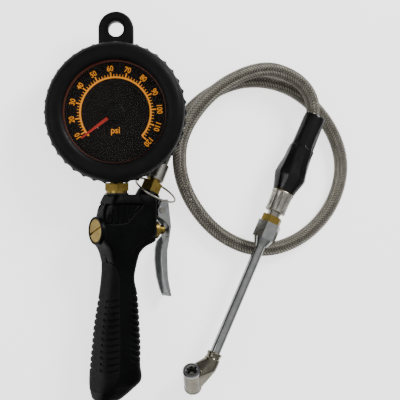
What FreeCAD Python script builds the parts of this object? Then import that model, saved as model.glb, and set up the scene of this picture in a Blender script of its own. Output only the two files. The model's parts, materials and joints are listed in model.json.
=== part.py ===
"""Tyre inflator with a boxed dial gauge, a lever valve handle, a braided hose and a dual-foot air chuck.

The row frame is +Z up, in millimetres, with its origin at the mouth of the air inlet in the butt.
The tool lies on a table: its long axis runs along +Y, from the inlet to the gauge.
Three tilted frames hold the groups: the gauge, the gun (handle, valve, lever) and the hose's far end.
"""
import FreeCAD
import Part
import Sketcher
import math
import os

from FreeCAD import Placement, Rotation, Vector

X_AXIS, Y_AXIS, Z_AXIS = Vector(1, 0, 0), Vector(0, 1, 0), Vector(0, 0, 1)

# Driving dimensions, in millimetres and degrees. Each becomes an aliased cell of the sheet "Sizes".
DIMENSIONS = {
    # the lie of the three groups on the table
    "gauge_tilt": 16.0, "gun_tilt": 18.5, "chuck_heading": 24.3,
    # gauge boot, case and window
    "boot_outer": 53.2, "boot_back": -10.4, "boot_front": 26.5, "boot_floor": 2.6, "boot_opening": 33.0,
    "case_outer": 45.6, "case_wall": 1.2, "case_bevel": 4.5, "bezel_seat": 19.5, "bezel_height": 3.8,
    "window_inset": 6.4, "lens_inset": 3.3, "lens_thick": 2.0, "gasket_thick": 1.0,
    "lug_width": 26.0, "lug_rise": 62.3, "lug_back": 2.0, "lug_thick": 9.0, "eye_hole": 5.7,
    # dial, backlight and movement
    "dial_level": 12.2, "dial_thick": 0.8, "board_level": 9.4, "board_thick": 1.2, "board_inset": 5.6,
    "led_inset": 11.6, "led_count": 12, "led_length": 2.8, "led_width": 1.4, "led_height": 1.0,
    "pointer_reach": 31.4, "pointer_root": 1.25, "pointer_tip": 0.6, "pointer_rest": 217.0,
    "pointer_thick": 0.6, "cap_outer": 7.0, "cap_height": 2.2, "arbor": 0.8, "stop_ring": 17.0,
    "gear_module": 0.5, "pinion_teeth": 14, "sector_full_teeth": 84, "sector_half_teeth": 7,
    "gear_level": 6.6, "gear_thick": 1.4, "plate_level": 5.0, "plate_thick": 1.0,
    "tube_ring": 30.0, "tube_wall": 2.4, "tube_height": 9.0,
    "cell_outer": 10.0, "cell_thick": 3.2, "cell_x": -12.0, "cell_y": 13.0,
    "button_outer": 3.5, "button_x": 14.0, "button_y": 16.0, "screw_ring": 38.0,
    # stem and brass adapter under the gauge
    "stem_width": 14.0, "stem_depth": 10.0, "stem_shank": 5.0, "stem_top": -12.0, "stem_end": -58.0,
    "adapter_top": -51.8, "adapter_flats": 17.5, "adapter_hex": 5.7, "adapter_collar": 7.95,
    "adapter_thread": 6.6, "adapter_depth": 10.0, "washer_thick": 1.0, "head_top": -60.3,
    # grip
    "grip_start": -105.5, "grip_length": 107.5, "overmould_thick": 2.2, "seam_x": -5.2,
    "passage": 3.5, "passage_x": -1.0,
    # valve, on an axis that runs from the plug at the back to the lever in front
    "valve_y": -87.3, "chamber": 6.5, "plug_head": 8.5, "plug_face": 18.3, "plug_thick": 1.9,
    "slot_width": 1.6, "slot_depth": 1.1, "slot_turn": 21.0, "boss_rim": 10.5, "plunger": 3.6,
    "plunger_reach": 42.3, "gland_outer": 6.8, "gland_reach": 35.5, "boss_reach": 31.0,
    "seat_front": 8.0, "seat_back": 4.0, "seat_hole": 3.0, "poppet": 5.0, "spring_coil": 3.6,
    "spring_wire": 0.5, "slide_clear": 0.05,
    # lever
    "lever_width": 11.2, "lever_wall": 1.5, "pivot_x": 36.8, "pivot_y": -72.1, "pin": 2.0,
    "pin_head": 2.4, "lug_half": 3.7, "lug_nose": 3.9,
    # inlet
    "inlet_x": -9.0, "inlet_proud": 1.5, "inlet_bore": 6.1, "inlet_outer": 8.2, "inlet_depth": 12.0,
    "filter_thick": 2.0,
    # hose fitting on the gun
    "fitting_x": 28.6, "fitting_y": -58.7, "fitting_lean": 25.0, "fitting_flats": 14.5,
    "fitting_hex": 8.2, "fitting_boss": 8.6, "fitting_thread": 4.8, "ferrule_outer": 7.0,
    "ferrule_end": 24.0, "ring_mean": 16.7, "ring_wire": 0.7,
    # hose and the parts on its far end, as heights along the chuck line
    "hose_outer": 5.5, "tube_outer": 4.0, "tube_bore": 2.4, "tube_end": 99.0, "adapter_base": 104.5,
    "adapter_flat": 16.8, "adapter_end": 118.0, "nut_flats": 14.2, "nut_end": 123.8, "neck_end": 127.5,
    "crimp_end": 144.8, "crimp_low": 8.15, "crimp_high": 8.85, "stem_bore": 2.0,
    "hose_end": 189.0, "sleeve_end": 210.8, "sleeve_wide": 12.5, "sleeve_level": 159.0,
    "coupling_hex": 18.0, "coupling_body": 7.2, "arm_radius": 5.3, "collar_outer": 6.2,
    "foot_outer": 6.6, "foot_half": 11.0, "foot_bore": 5.2, "foot_web": 3.0, "mouth_bore": 3.9,
    "mouth_outer": 6.85, "mouth_rise": 2.0, "pin_radius": 1.2, "pin_gap": 1.9, "pin_reach": 8.6,
}

# Outline of the head and grip, as sections across the tool's axis.
# Head sections: distance below the gauge centre, back, front, half thickness, corner.
SECTION_FIELDS = ("at", "back", "front", "half", "corner")
HEAD_SECTIONS = [
    (60.3, -6.5, 28.0, 11.0, 2.4), (66.0, -9.2, 28.5, 12.0, 2.4), (78.5, -15.5, 28.6, 12.6, 3.0),
    (87.3, -17.0, 28.6, 12.9, 3.6), (95.0, -16.6, 27.6, 12.9, 3.4), (101.0, -11.9, 22.0, 12.8, 3.2),
]
# Grip sections: share of the grip's length below its start, back, front, half thickness, corner.
GRIP_SECTIONS = [
    (0.0, -10.2, 15.9, 12.5, 3.2), (0.070, -8.8, 12.6, 12.0, 3.6), (0.167, -9.5, 11.0, 12.0, 4.0),
    (0.273, -11.0, 13.6, 13.0, 4.4), (0.405, -13.5, 14.7, 14.5, 4.8), (0.511, -15.1, 14.9, 15.5, 5.0),
    (0.653, -16.4, 15.3, 16.6, 5.0), (0.760, -17.1, 14.1, 17.6, 4.4), (0.867, -17.6, 14.9, 17.6, 4.4),
    (0.930, -17.4, 8.0, 14.5, 4.6), (1.0, -16.5, -1.0, 9.0, 3.0),
]
# Lever seen from the side: (x, y) from the tool's axis and the gauge's centre.
LEVER_BACK_EDGE = [(41.1, -133.5), (38.1, -123.5), (36.5, -111.0), (36.8, -102.6), (38.4, -96.5),
                   (42.9, -92.0), (43.0, -84.5), (38.4, -79.6), (33.4, -76.6), (33.0, -72.0),
                   (34.8, -68.0), (37.6, -64.3)]
LEVER_FRONT_EDGE = [(42.3, -64.0), (45.0, -85.0), (43.2, -95.4), (41.5, -103.4), (41.6, -114.0),
                    (42.3, -124.9), (44.5, -134.9), (45.4, -138.2), (43.6, -138.6)]
# The hose's route from the gun's ferrule to the coupling, one loop and a crossing, in the row frame.
HOSE_ROUTE = [
    (45.2, 177.6, -15.2), (58.5, 207.5, -17.5), (81.5, 232.5, -17.5), (116.5, 246.5, -17.5),
    (154.5, 240.5, -17.5), (184.5, 215.5, -17.5), (199.5, 180.5, -17.5), (189.5, 144.5, -17.5),
    (163.5, 118.5, -17.5), (128.5, 108.0, -17.5), (94.5, 120.5, -17.5), (71.0, 145.5, -16.7),
    (58.0, 173.5, -10.7), (59.5, 203.5, -5.2), (85.5, 236.5, -5.2), (124.5, 255.0, -5.2),
    (151.5, 248.0, -5.2), (166.0, 233.5, -5.0), (168.1, 213.7, -4.7), (160.3, 196.4, -4.7),
]


class Size:
    """A dimension that carries both its value and the expression that binds it to the sheet."""

    def __init__(self, value, text=None):
        self.value = value
        self.text = text or f"{value:.6f}"

    def combine(self, other, sign, value):
        return Size(value, f"({self.text} {sign} {as_size(other).text})")

    def __add__(self, other):
        return self.combine(other, "+", self.value + as_size(other).value)

    def __sub__(self, other):
        return self.combine(other, "-", self.value - as_size(other).value)

    def __mul__(self, other):
        return self.combine(other, "*", self.value * as_size(other).value)

    def __truediv__(self, other):
        return self.combine(other, "/", self.value / as_size(other).value)

    def __radd__(self, other):
        return as_size(other) + self

    def __rsub__(self, other):
        return as_size(other) - self

    def __rmul__(self, other):
        return as_size(other) * self

    def __neg__(self):
        return Size(-self.value, f"(0 - {self.text})")


def as_size(number):
    """Turn a plain number into a Size; leave a Size as it is."""
    return number if isinstance(number, Size) else Size(float(number))


class Sheet:
    """The spreadsheet of driving dimensions; reading an attribute gives that dimension as a Size."""

    def __init__(self, document, dimensions):
        sheet = document.addObject("Spreadsheet::Sheet", "Sizes")
        for line, (alias, value) in enumerate(dimensions.items(), start=1):
            sheet.set(f"A{line}", alias.replace("_", " "))
            sheet.set(f"B{line}", str(value))
            sheet.setAlias(f"B{line}", alias)
        self.values = dimensions

    def __getattr__(self, alias):
        return Size(float(self.values[alias]), f"Sizes.{alias}")


def all_dimensions():
    """Join the named dimensions with the cells of the head's and the grip's sections."""
    cells = dict(DIMENSIONS)
    for part, sections in (("head", HEAD_SECTIONS), ("grip", GRIP_SECTIONS)):
        for number, section in enumerate(sections):
            for field, value in zip(SECTION_FIELDS, section):
                cells[f"{part}_{number}_{field}"] = value
    return cells


doc = FreeCAD.newDocument("tyre_inflator")
S = Sheet(doc, all_dimensions())
doc.recompute()
PARTS = {}


# Frames ------------------------------------------------------------------------------------------

BUTT_Y = S.grip_start - S.grip_length
MOUTH_Y = BUTT_Y - S.inlet_proud
TILT = math.radians(S.gun_tilt.value)
# The tool's axis, at the height of the gauge's centre, seen from the inlet's mouth.
TOOL_POINT = Vector(-S.inlet_x.value * math.cos(TILT), -MOUTH_Y.value, S.inlet_x.value * math.sin(TILT))
GAUGE = Placement(TOOL_POINT, Rotation(Y_AXIS, -S.gauge_tilt.value))
GUN = Placement(TOOL_POINT, Rotation(Y_AXIS, S.gun_tilt.value))
VALVE = GUN.multiply(Placement(Vector(0, S.valve_y.value, 0), Rotation(Y_AXIS, -90)))
FITTING = GUN.multiply(Placement(Vector(S.fitting_x.value, S.fitting_y.value, 0),
                                 Rotation(Z_AXIS, -S.fitting_lean.value).multiply(Rotation(X_AXIS, -90))))
INLET = GUN.multiply(Placement(Vector(S.inlet_x.value, MOUTH_Y.value, 0), Rotation(X_AXIS, 90)))
CHUCK = Placement(Vector(82.4, 24.2, -4.7),
                  Rotation(Z_AXIS, -S.chuck_heading.value).multiply(Rotation(X_AXIS, -90)))
FOOT_AXIS = Vector(-0.2465, 0.656, 0.715)
FOOT_CENTRE = Vector(69.0, 11.9, -9.1)
FOOT = Placement(FOOT_CENTRE, Rotation(Z_AXIS, FOOT_AXIS))
RING_CENTRE = Vector(39.25, 157.6, -6.23)
RING_AXIS = Vector(0.39, 0.837, 0.383)
ROW = Placement()


def shifted(frame, x=0, y=0, z=0):
    """A frame moved along its own axes."""
    step = Vector(as_size(x).value, as_size(y).value, as_size(z).value)
    return frame.multiply(Placement(step, Rotation()))


# Building blocks ---------------------------------------------------------------------------------

def bind(item, **properties):
    """Bind properties of a document object to Sizes."""
    for name, size in properties.items():
        item.setExpression(name, as_size(size).text)
    return item


def put(item, at=(0, 0, 0), turn=None):
    """Place a building block, its position bound to the sheet."""
    item.Placement = Placement(Vector(*[as_size(size).value for size in at]), turn or Rotation())
    for axis, size in zip("xyz", at):
        item.setExpression(f"Placement.Base.{axis}", as_size(size).text)
    return item


ALONG = {"x": Rotation(Y_AXIS, 90), "y": Rotation(X_AXIS, -90), "z": Rotation()}


def rod(radius, low, high, axis="z", x=0, y=0, z=0):
    """A cylinder from low to high along an axis, beside the axis by the other two coordinates."""
    item = doc.addObject("Part::Cylinder", "Rod")
    bind(item, Radius=radius, Height=as_size(high) - low)
    at = {"x": (low, y, z), "y": (x, low, z), "z": (x, y, low)}[axis]
    return put(item, at, ALONG[axis])


def block(x, y, z):
    """A box between pairs of coordinates."""
    item = doc.addObject("Part::Box", "Block")
    bind(item, Length=as_size(x[1]) - x[0], Width=as_size(y[1]) - y[0], Height=as_size(z[1]) - z[0])
    return put(item, (x[0], y[0], z[0]))


def hexagon(flats, low, high):
    """A hexagonal prism along z, given by its width across flats."""
    item = doc.addObject("Part::Prism", "Hexagon")
    item.Polygon = 6
    bind(item, Circumradius=as_size(flats) / math.sqrt(3), Height=as_size(high) - low)
    return put(item, (0, 0, low))


def join(*items):
    """The union of solids."""
    union = doc.addObject("Part::MultiFuse", "Union")
    union.Shapes = list(items)
    return union


def cut(base, *tools):
    """A solid less other solids."""
    for tool in tools:
        difference = doc.addObject("Part::Cut", "Difference")
        difference.Base = base
        difference.Tool = tool
        base = difference
    return base


def outline(body, plane, points):
    """A closed sketch through points, each bound to the sheet, on one of the body's own planes."""
    sketch = body.newObject("Sketcher::SketchObject", "Outline")
    support = [face for face in body.Origin.OriginFeatures if face.Role == plane][0]
    sketch.AttachmentSupport = [(support, "")]
    sketch.MapMode = "FlatFace"
    fill_outline(sketch, points)
    return sketch


def fill_outline(sketch, points):
    """Draw a closed run of lines and bind each corner's two coordinates."""
    places = [(as_size(x), as_size(y)) for x, y in points]
    count = len(places)
    for number, (start, end) in enumerate(zip(places, places[1:] + places[:1])):
        sketch.addGeometry(Part.LineSegment(Vector(start[0].value, start[1].value, 0),
                                            Vector(end[0].value, end[1].value, 0)), False)
    for number in range(count):
        sketch.addConstraint(Sketcher.Constraint("Coincident", number, 2, (number + 1) % count, 1))
    for number, place in enumerate(places):
        for kind, size in zip(("DistanceX", "DistanceY"), place):
            index = sketch.addConstraint(Sketcher.Constraint(kind, -1, 1, number, 1, size.value))
            sketch.setExpression(f"Constraints[{index}]", size.text)


def turned(points, angle=360.0):
    """A solid of revolution about z from (radius, height) points."""
    body = doc.addObject("PartDesign::Body", "Turned")
    sketch = outline(body, "XZ_Plane", points)
    revolution = body.newObject("PartDesign::Revolution", "Revolution")
    revolution.Profile = sketch
    revolution.ReferenceAxis = (sketch, ["V_Axis"])
    revolution.Angle = angle
    return body


def plate(points, low, high):
    """A plate in the xy plane between two heights."""
    body = doc.addObject("PartDesign::Body", "Plate")
    sketch = outline(body, "XY_Plane", points)
    bind(sketch, **{"AttachmentOffset.Base.z": low})
    pad = body.newObject("PartDesign::Pad", "Pad")
    pad.Profile = sketch
    bind(pad, Length=as_size(high) - low)
    return body


def coil(radius, wire, low, length, turns):
    """A round-wire helical spring along z."""
    helix = doc.addObject("Part::Helix", "Helix")
    bind(helix, Radius=radius, Height=length, Pitch=as_size(length) / turns)
    put(helix, (0, 0, low))
    section = doc.addObject("Part::Circle", "Wire")
    bind(section, Radius=wire)
    put(section, (radius, 0, low), Rotation(X_AXIS, 90))
    sweep = doc.addObject("Part::Sweep", "Spring")
    sweep.Sections = [section]
    sweep.Spine = (helix, ["Edge1"])
    sweep.Solid = True
    sweep.Frenet = True
    return sweep


def keep(name, item, frame):
    """Name a finished sub-part and place it in its frame, a lone primitive where it stands there."""
    item.Label = name
    for axis in "xyz":
        item.setExpression(f"Placement.Base.{axis}", None)
    item.Placement = frame.multiply(item.Placement)
    PARTS[name] = item
    return item


def tooth_points(teeth, pitch, tip, root, phase, step):
    """Straight-sided teeth at equal steps, as (x, y) points from the gear's centre."""
    tip_half, root_half = 0.34 * S.gear_module.value, 0.80 * S.gear_module.value
    points = []
    for number in teeth:
        middle = math.radians(phase + number * step)
        for radius, half in ((root, -root_half), (tip, -tip_half), (tip, tip_half), (root, root_half)):
            angle = middle + half / radius
            points.append((radius * math.cos(angle), radius * math.sin(angle)))
    return points


# Gauge -------------------------------------------------------------------------------------------

CASE_BACK = S.boot_back + S.boot_floor
BEZEL_TOP = S.bezel_seat + S.bezel_height
LENS_TOP = BEZEL_TOP - S.case_wall
CASE_BORE = S.case_outer - S.case_wall
# Everything inside the case keeps its distance from the case's wall.
WINDOW = S.case_outer - S.window_inset
LENS_EDGE = S.case_outer - S.lens_inset
RIM = WINDOW + 0.4
DIAL_TOP = S.dial_level + S.dial_thick
SEAT_UNDER = LENS_TOP - S.lens_thick - S.gasket_thick


def make_gauge_shells():
    """The rubber boot with its hanging eye, the steel case and its bezel."""
    boot = turned([
        (S.boot_opening, S.boot_back), (S.boot_outer - 17, S.boot_back), (S.boot_outer - 9, S.boot_back + 2),
        (S.boot_outer - 2.7, S.boot_back + 5.6), (S.boot_outer, S.boot_back + 10.6),
        (S.boot_outer, S.boot_front - 9), (S.boot_outer - 1.2, S.boot_front - 3.4),
        (S.boot_outer - 4, S.boot_front - 0.8), (S.boot_outer - 8, S.boot_front),
        (WINDOW + 3, S.boot_front), (RIM, S.boot_front - 2), (RIM, BEZEL_TOP),
        (S.case_outer, BEZEL_TOP), (S.case_outer, CASE_BACK + S.case_bevel),
        (S.case_outer - S.case_bevel, CASE_BACK), (S.boot_opening, CASE_BACK)])
    half = S.lug_width / 2
    lug_top = S.lug_back + S.lug_thick
    lug = join(block((-half, half), (S.boot_outer - 3, S.lug_rise), (S.lug_back, lug_top)),
               rod(half, S.lug_back, lug_top, y=S.lug_rise))
    body = join(boot, lug)
    eye = rod(S.eye_hole, S.lug_back - 1, lug_top + 1, y=S.lug_rise)
    stem_way = rod(S.adapter_flats / math.sqrt(3) + 0.15, -S.boot_outer - 2, -S.case_outer + 2, "y")
    keep("gauge_boot", cut(body, eye, stem_way), GAUGE)

    cup = turned([(0, CASE_BACK), (S.case_outer - S.case_bevel, CASE_BACK),
                  (S.case_outer, CASE_BACK + S.case_bevel), (S.case_outer, S.bezel_seat),
                  (CASE_BORE, S.bezel_seat), (CASE_BORE, CASE_BACK + S.case_bevel + 0.5),
                  (CASE_BORE - S.case_bevel + 0.7, CASE_BACK + S.case_wall), (0, CASE_BACK + S.case_wall)])
    stem_hole = rod(S.stem_width / 2 + 1.8, -S.case_outer - 1, -S.case_outer + 6, "y")
    door_hole = rod(S.cell_outer + 1.6, CASE_BACK - 1, CASE_BACK + 2, x=S.cell_x, y=S.cell_y)
    button_hole = rod(S.button_outer + S.slide_clear, CASE_BACK - 1, CASE_BACK + 2,
                      x=S.button_x, y=S.button_y)
    holes = [rod(1.5, CASE_BACK - 1, CASE_BACK + 2, x=x, y=-S.screw_ring * 0.6) for x in (-4.5, 4.5)]
    keep("gauge_case", cut(cup, stem_hole, door_hole, button_hole, *holes), GAUGE)
    keep("bezel_ring", turned([
        (WINDOW, LENS_TOP), (WINDOW, BEZEL_TOP), (S.case_outer, BEZEL_TOP),
        (S.case_outer, S.bezel_seat), (LENS_EDGE, S.bezel_seat), (LENS_EDGE, LENS_TOP)]), GAUGE)


def make_gauge_face():
    """The lens on its gasket, the lit ring round the dial, the dial and the pointer over it."""
    keep("lens", turned([(0, LENS_TOP - S.lens_thick), (LENS_EDGE, LENS_TOP - S.lens_thick),
                         (LENS_EDGE, LENS_TOP), (0, LENS_TOP)]), GAUGE)
    keep("lens_gasket", turned([(WINDOW, SEAT_UNDER), (LENS_EDGE, SEAT_UNDER),
                                (LENS_EDGE, SEAT_UNDER + S.gasket_thick),
                                (WINDOW, SEAT_UNDER + S.gasket_thick)]), GAUGE)
    keep("light_ring", turned([(WINDOW - 0.4, DIAL_TOP), (LENS_EDGE, DIAL_TOP),
                               (LENS_EDGE, SEAT_UNDER), (WINDOW, SEAT_UNDER)]), GAUGE)
    angle = math.radians(S.pointer_rest.value + 5.3)
    stop = (S.stop_ring * math.cos(angle), S.stop_ring * math.sin(angle))
    dial = rod(LENS_EDGE, S.dial_level, DIAL_TOP)
    arbor_hole = rod(S.arbor + 0.4, S.dial_level - 1, DIAL_TOP + 1)
    stop_hole = rod(0.5, S.dial_level - 1, DIAL_TOP + 1, x=stop[0], y=stop[1])
    keep("dial_plate", cut(dial, arbor_hole, stop_hole), GAUGE)
    keep("stop_pin", rod(0.5, S.dial_level, DIAL_TOP + 3, x=stop[0], y=stop[1]), GAUGE)

    low = DIAL_TOP + 1.4
    needle = plate([(-2, S.pointer_root), (6, S.pointer_root), (S.pointer_reach, S.pointer_tip),
                    (S.pointer_reach, -S.pointer_tip), (6, -S.pointer_root), (-2, -S.pointer_root)],
                   low, low + S.pointer_thick)
    blade = cut(join(needle, rod(3.2, low, low + S.pointer_thick)), rod(S.arbor, low - 1, low + 2))
    rest = Rotation(Z_AXIS, S.pointer_rest.value)
    keep("pointer", blade, GAUGE.multiply(Placement(Vector(), rest)))
    base = low + S.pointer_thick
    keep("pointer_cap", turned([(0, base), (S.cap_outer, base), (S.cap_outer, base + S.cap_height * 0.6),
                                (S.cap_outer - 1.2, base + S.cap_height), (0, base + S.cap_height)]), GAUGE)


def make_movement():
    """The pressure tube, the geared movement that turns the pointer, and the stem they stand on."""
    pitch = S.gear_module * S.pinion_teeth / 2
    sector_pitch = S.gear_module * S.sector_full_teeth / 2
    reach = -(pitch + sector_pitch)
    low, high = S.gear_level, S.gear_level + S.gear_thick
    tip, root = 0.9 * S.gear_module.value, 1.2 * S.gear_module.value
    step = 360.0 / S.pinion_teeth.value
    pinion_points = tooth_points(range(int(S.pinion_teeth.value)), pitch.value, pitch.value + tip,
                                 pitch.value - root, -90 + step / 2, step)
    pointer_base = DIAL_TOP + 1.4 + S.pointer_thick
    keep("pointer_arbor", join(plate(pinion_points, low, high), rod(S.arbor, S.plate_level, pointer_base)),
         GAUGE)

    fine = 360.0 / S.sector_full_teeth.value
    swing = 261.0 / 6 / 2
    half = int(S.sector_half_teeth.value)
    shift = round(swing / fine)
    rim = tooth_points(range(-half - shift, half - shift + 1), sector_pitch.value, sector_pitch.value + tip,
                       sector_pitch.value - root, 90, fine)
    rim = rim + [(-1.2, 2.6), (-5.5, 1.4), (-5.5, -1.4), (1.6, -2.6), (2.6, 0.6)]
    sector = cut(plate(rim[::-1], low, high), rod(S.arbor + S.slide_clear, low - 1, high + 1))
    keep("sector_gear", sector, shifted(GAUGE, y=reach))

    top = high + 0.3
    plates = join(block((-9, 9), (reach - 4, 4), (S.plate_level, S.plate_level + S.plate_thick)),
                  rod(S.arbor, S.plate_level, top + 0.5, y=reach),
                  *[rod(1.4, S.plate_level, top + 0.5, x=x, y=reach + 2) for x in (-7.4, 7.4)],
                  block((-8.8, 8.8), (reach - 2, reach + 3.4), (top, top + 0.5)))
    keep("movement_plates", cut(plates, rod(S.arbor + S.slide_clear, S.plate_level - 1, 20)), GAUGE)

    stem = join(block((-S.stem_width / 2, S.stem_width / 2), (S.adapter_top + 3, S.stem_top),
                      (-S.stem_depth / 2, S.stem_depth / 2)),
                rod(S.stem_shank, S.stem_end, S.stem_top - 6, "y"))
    flat = S.tube_height / 2
    ring = turned([(S.tube_ring - S.tube_wall / 2, -flat), (S.tube_ring + S.tube_wall / 2, -flat),
                   (S.tube_ring + S.tube_wall / 2, flat), (S.tube_ring - S.tube_wall / 2, flat)], 255.0)
    keep("bourdon_tube", ring, GAUGE.multiply(Placement(Vector(), Rotation(Z_AXIS, -76))))
    ring_copy = turned([(S.tube_ring - S.tube_wall / 2, -flat), (S.tube_ring + S.tube_wall / 2, -flat),
                        (S.tube_ring + S.tube_wall / 2, flat), (S.tube_ring - S.tube_wall / 2, flat)], 255.0)
    ring_copy.Placement = Placement(Vector(), Rotation(Z_AXIS, -76))
    bore = rod(1.6, S.stem_end - 1, -S.tube_ring, "y")
    screw_holes = [rod(1.2, -S.stem_depth, -1, x=x, y=-S.screw_ring * 0.6) for x in (-4.5, 4.5)]
    keep("gauge_stem", cut(stem, ring_copy, bore, *screw_holes), GAUGE)
    keep("movement_link", block((-S.tube_ring + S.tube_wall, -8.5), (reach + 4.2, reach + 5.6),
                                (flat + 2.1, flat + 2.9)), GAUGE)


def make_backlight():
    """The ring of lamps behind the dial, its cell, the door over the cell and the push button."""
    board = cut(rod(S.case_outer - S.board_inset, S.board_level, S.board_level + S.board_thick),
                rod(4.0, S.board_level - 1, S.board_level + 3))
    keep("backlight_board", board, GAUGE)
    top = S.board_level + S.board_thick
    ring = S.case_outer - S.led_inset
    lamps = []
    for number in range(DIMENSIONS["led_count"]):
        lamp = block((ring, ring + S.led_width), (-S.led_length / 2, S.led_length / 2),
                     (top, top + S.led_height))
        holder = doc.addObject("Part::Compound", "Lamp")
        holder.Links = [lamp]
        holder.Placement = Placement(Vector(), Rotation(Z_AXIS, 360.0 * number / DIMENSIONS["led_count"]))
        lamps.append(holder)
    group = doc.addObject("Part::Compound", "Lamps")
    group.Links = lamps
    keep("backlight_leds", group, GAUGE)
    floor_top = CASE_BACK + S.case_wall
    keep("coin_cell", rod(S.cell_outer, floor_top, floor_top + S.cell_thick, x=S.cell_x, y=S.cell_y), GAUGE)
    keep("battery_door", rod(S.cell_outer + 1.4, CASE_BACK - 0.6, floor_top, x=S.cell_x, y=S.cell_y), GAUGE)
    button = turned([(0, CASE_BACK - 1.6), (S.button_outer, CASE_BACK - 1.6),
                     (S.button_outer, floor_top + 0.2), (S.button_outer + 1.2, floor_top + 0.2),
                     (S.button_outer + 1.2, floor_top + 1.2), (0, floor_top + 1.2)])
    keep("light_button", button, shifted(GAUGE, x=S.button_x, y=S.button_y))
    screws = []
    for x in (-4.5, 4.5):
        head = rod(2.4, CASE_BACK - 1.2, CASE_BACK, x=x, y=-S.screw_ring * 0.6)
        screws.append(join(head, rod(1.2, CASE_BACK - 0.5, -2, x=x, y=-S.screw_ring * 0.6)))
    group = doc.addObject("Part::Compound", "Screws")
    group.Links = screws
    keep("case_screws", group, GAUGE)


# Handle ------------------------------------------------------------------------------------------

def section_rows():
    """Sections of head and grip as Sizes: height, back, front, half thickness, corner."""
    rows = []
    for number in range(len(HEAD_SECTIONS)):
        cells = [getattr(S, f"head_{number}_{field}") for field in SECTION_FIELDS]
        rows.append([-cells[0]] + cells[1:])
    for number in range(len(GRIP_SECTIONS)):
        cells = [getattr(S, f"grip_{number}_{field}") for field in SECTION_FIELDS]
        rows.append([S.grip_start - cells[0] * S.grip_length] + cells[1:])
    return rows


def grip_loft(inset):
    """The head and grip as one loft of eight-sided sections, shrunk by an inset."""
    sketches = []
    for height, back, front, half, corner in section_rows():
        left, right, deep = back + inset, front - inset, half - inset
        sketch = doc.addObject("Sketcher::SketchObject", "Section")
        put(sketch, (0, height, 0), Rotation(X_AXIS, 90))
        fill_outline(sketch, [
            (left + corner, -deep), (right - corner, -deep), (right, -deep + corner), (right, deep - corner),
            (right - corner, deep), (left + corner, deep), (left, deep - corner), (left, -deep + corner)])
        sketches.append(sketch)
    loft = doc.addObject("Part::Loft", "Grip")
    loft.Sections = sketches
    loft.Solid = True
    loft.Ruled = True
    return loft


def overmould_zone():
    """The space behind the seam, where the grip is covered with soft rubber."""
    return block((-40, S.seam_x), (S.grip_start - S.grip_length * 0.835, S.grip_start - 2.5), (-30, 30))


def make_handle():
    """The handle's body with its air ways, and the soft cover over the back of the grip."""
    cover = doc.addObject("Part::MultiCommon", "Cover")
    cover.Shapes = [grip_loft(0), overmould_zone()]
    keep("grip_overmould", cut(cover, grip_loft(S.overmould_thick)), GUN)

    skin = doc.addObject("Part::MultiCommon", "CoverSpace")
    skin.Shapes = [grip_loft(0), overmould_zone()]
    skin = cut(skin, grip_loft(S.overmould_thick))
    lean = Rotation(Z_AXIS, -S.fitting_lean.value)
    boss_lean = lean.multiply(Rotation(X_AXIS, -90))
    lean_angle = math.radians(S.fitting_lean.value)
    along = Vector(math.sin(lean_angle), math.cos(lean_angle), 0)

    def beside_fitting(radius, low, high):
        item = doc.addObject("Part::Cylinder", "Port")
        bind(item, Radius=radius, Height=as_size(high) - low)
        base = [S.fitting_x + along.x * as_size(low), S.fitting_y + along.y * as_size(low), as_size(0)]
        return put(item, base, boss_lean)

    def valve_bore(radius, low, high):
        """A cylinder on the valve's axis between two distances behind the tool's axis."""
        item = doc.addObject("Part::Cylinder", "ValveBore")
        bind(item, Radius=radius, Height=as_size(high) - low)
        return put(item, (-as_size(low), S.valve_y, 0), Rotation(Y_AXIS, -90))

    pivot_lug = join(block((24, S.pivot_x), (S.pivot_y - S.lug_nose, S.pivot_y + S.lug_nose),
                           (-S.lug_half, S.lug_half)),
                     rod(S.lug_nose, -S.lug_half, S.lug_half, x=S.pivot_x, y=S.pivot_y))
    solid = join(grip_loft(0), pivot_lug, beside_fitting(S.fitting_boss, -14, 0),
                 valve_bore(S.boss_rim, 8, S.plug_face + 0.4), valve_bore(8.0, -S.boss_reach, -20))
    plug_seat = S.plug_face - S.plug_thick
    bores = [
        skin,
        valve_bore(S.plug_head + 0.2, plug_seat, 30), valve_bore(8.3, plug_seat - 1.4, 30),
        valve_bore(S.chamber, -S.seat_front, 30), valve_bore(4.2, -22, 0),
        valve_bore(5.8, -S.boss_reach - 1, -19.5),
        rod(S.adapter_thread, S.head_top - S.adapter_depth - 0.5, S.head_top + 5, "y"),
        rod(2.0, S.valve_y, S.head_top - 6, "y", x=9.5),
        beside_fitting(S.fitting_thread, -10, 5), beside_fitting(2.0, -30, 0),
        rod(S.passage, BUTT_Y + 12, S.valve_y, "y", x=S.passage_x),
        rod(S.inlet_outer, MOUTH_Y - 5, BUTT_Y + 16, "y", x=S.inlet_x),
        rod(S.pin, -S.lug_half - 1, S.lug_half + 1, x=S.pivot_x, y=S.pivot_y),
    ]
    keep("handle_body", cut(solid, *bores), GUN)


def make_inlet():
    """The threaded inlet bushing in the butt and the filter above it."""
    keep("inlet_bushing", turned([
        (S.inlet_bore, 0), (S.inlet_outer, 0), (S.inlet_outer, -S.inlet_depth - 2),
        (3.0, -S.inlet_depth - 2), (3.0, -S.inlet_depth), (S.inlet_bore, -S.inlet_depth)]), INLET)
    low = -S.inlet_depth - 2
    keep("inlet_filter", rod(S.inlet_outer - 0.1, low - S.filter_thick, low), INLET)


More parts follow.
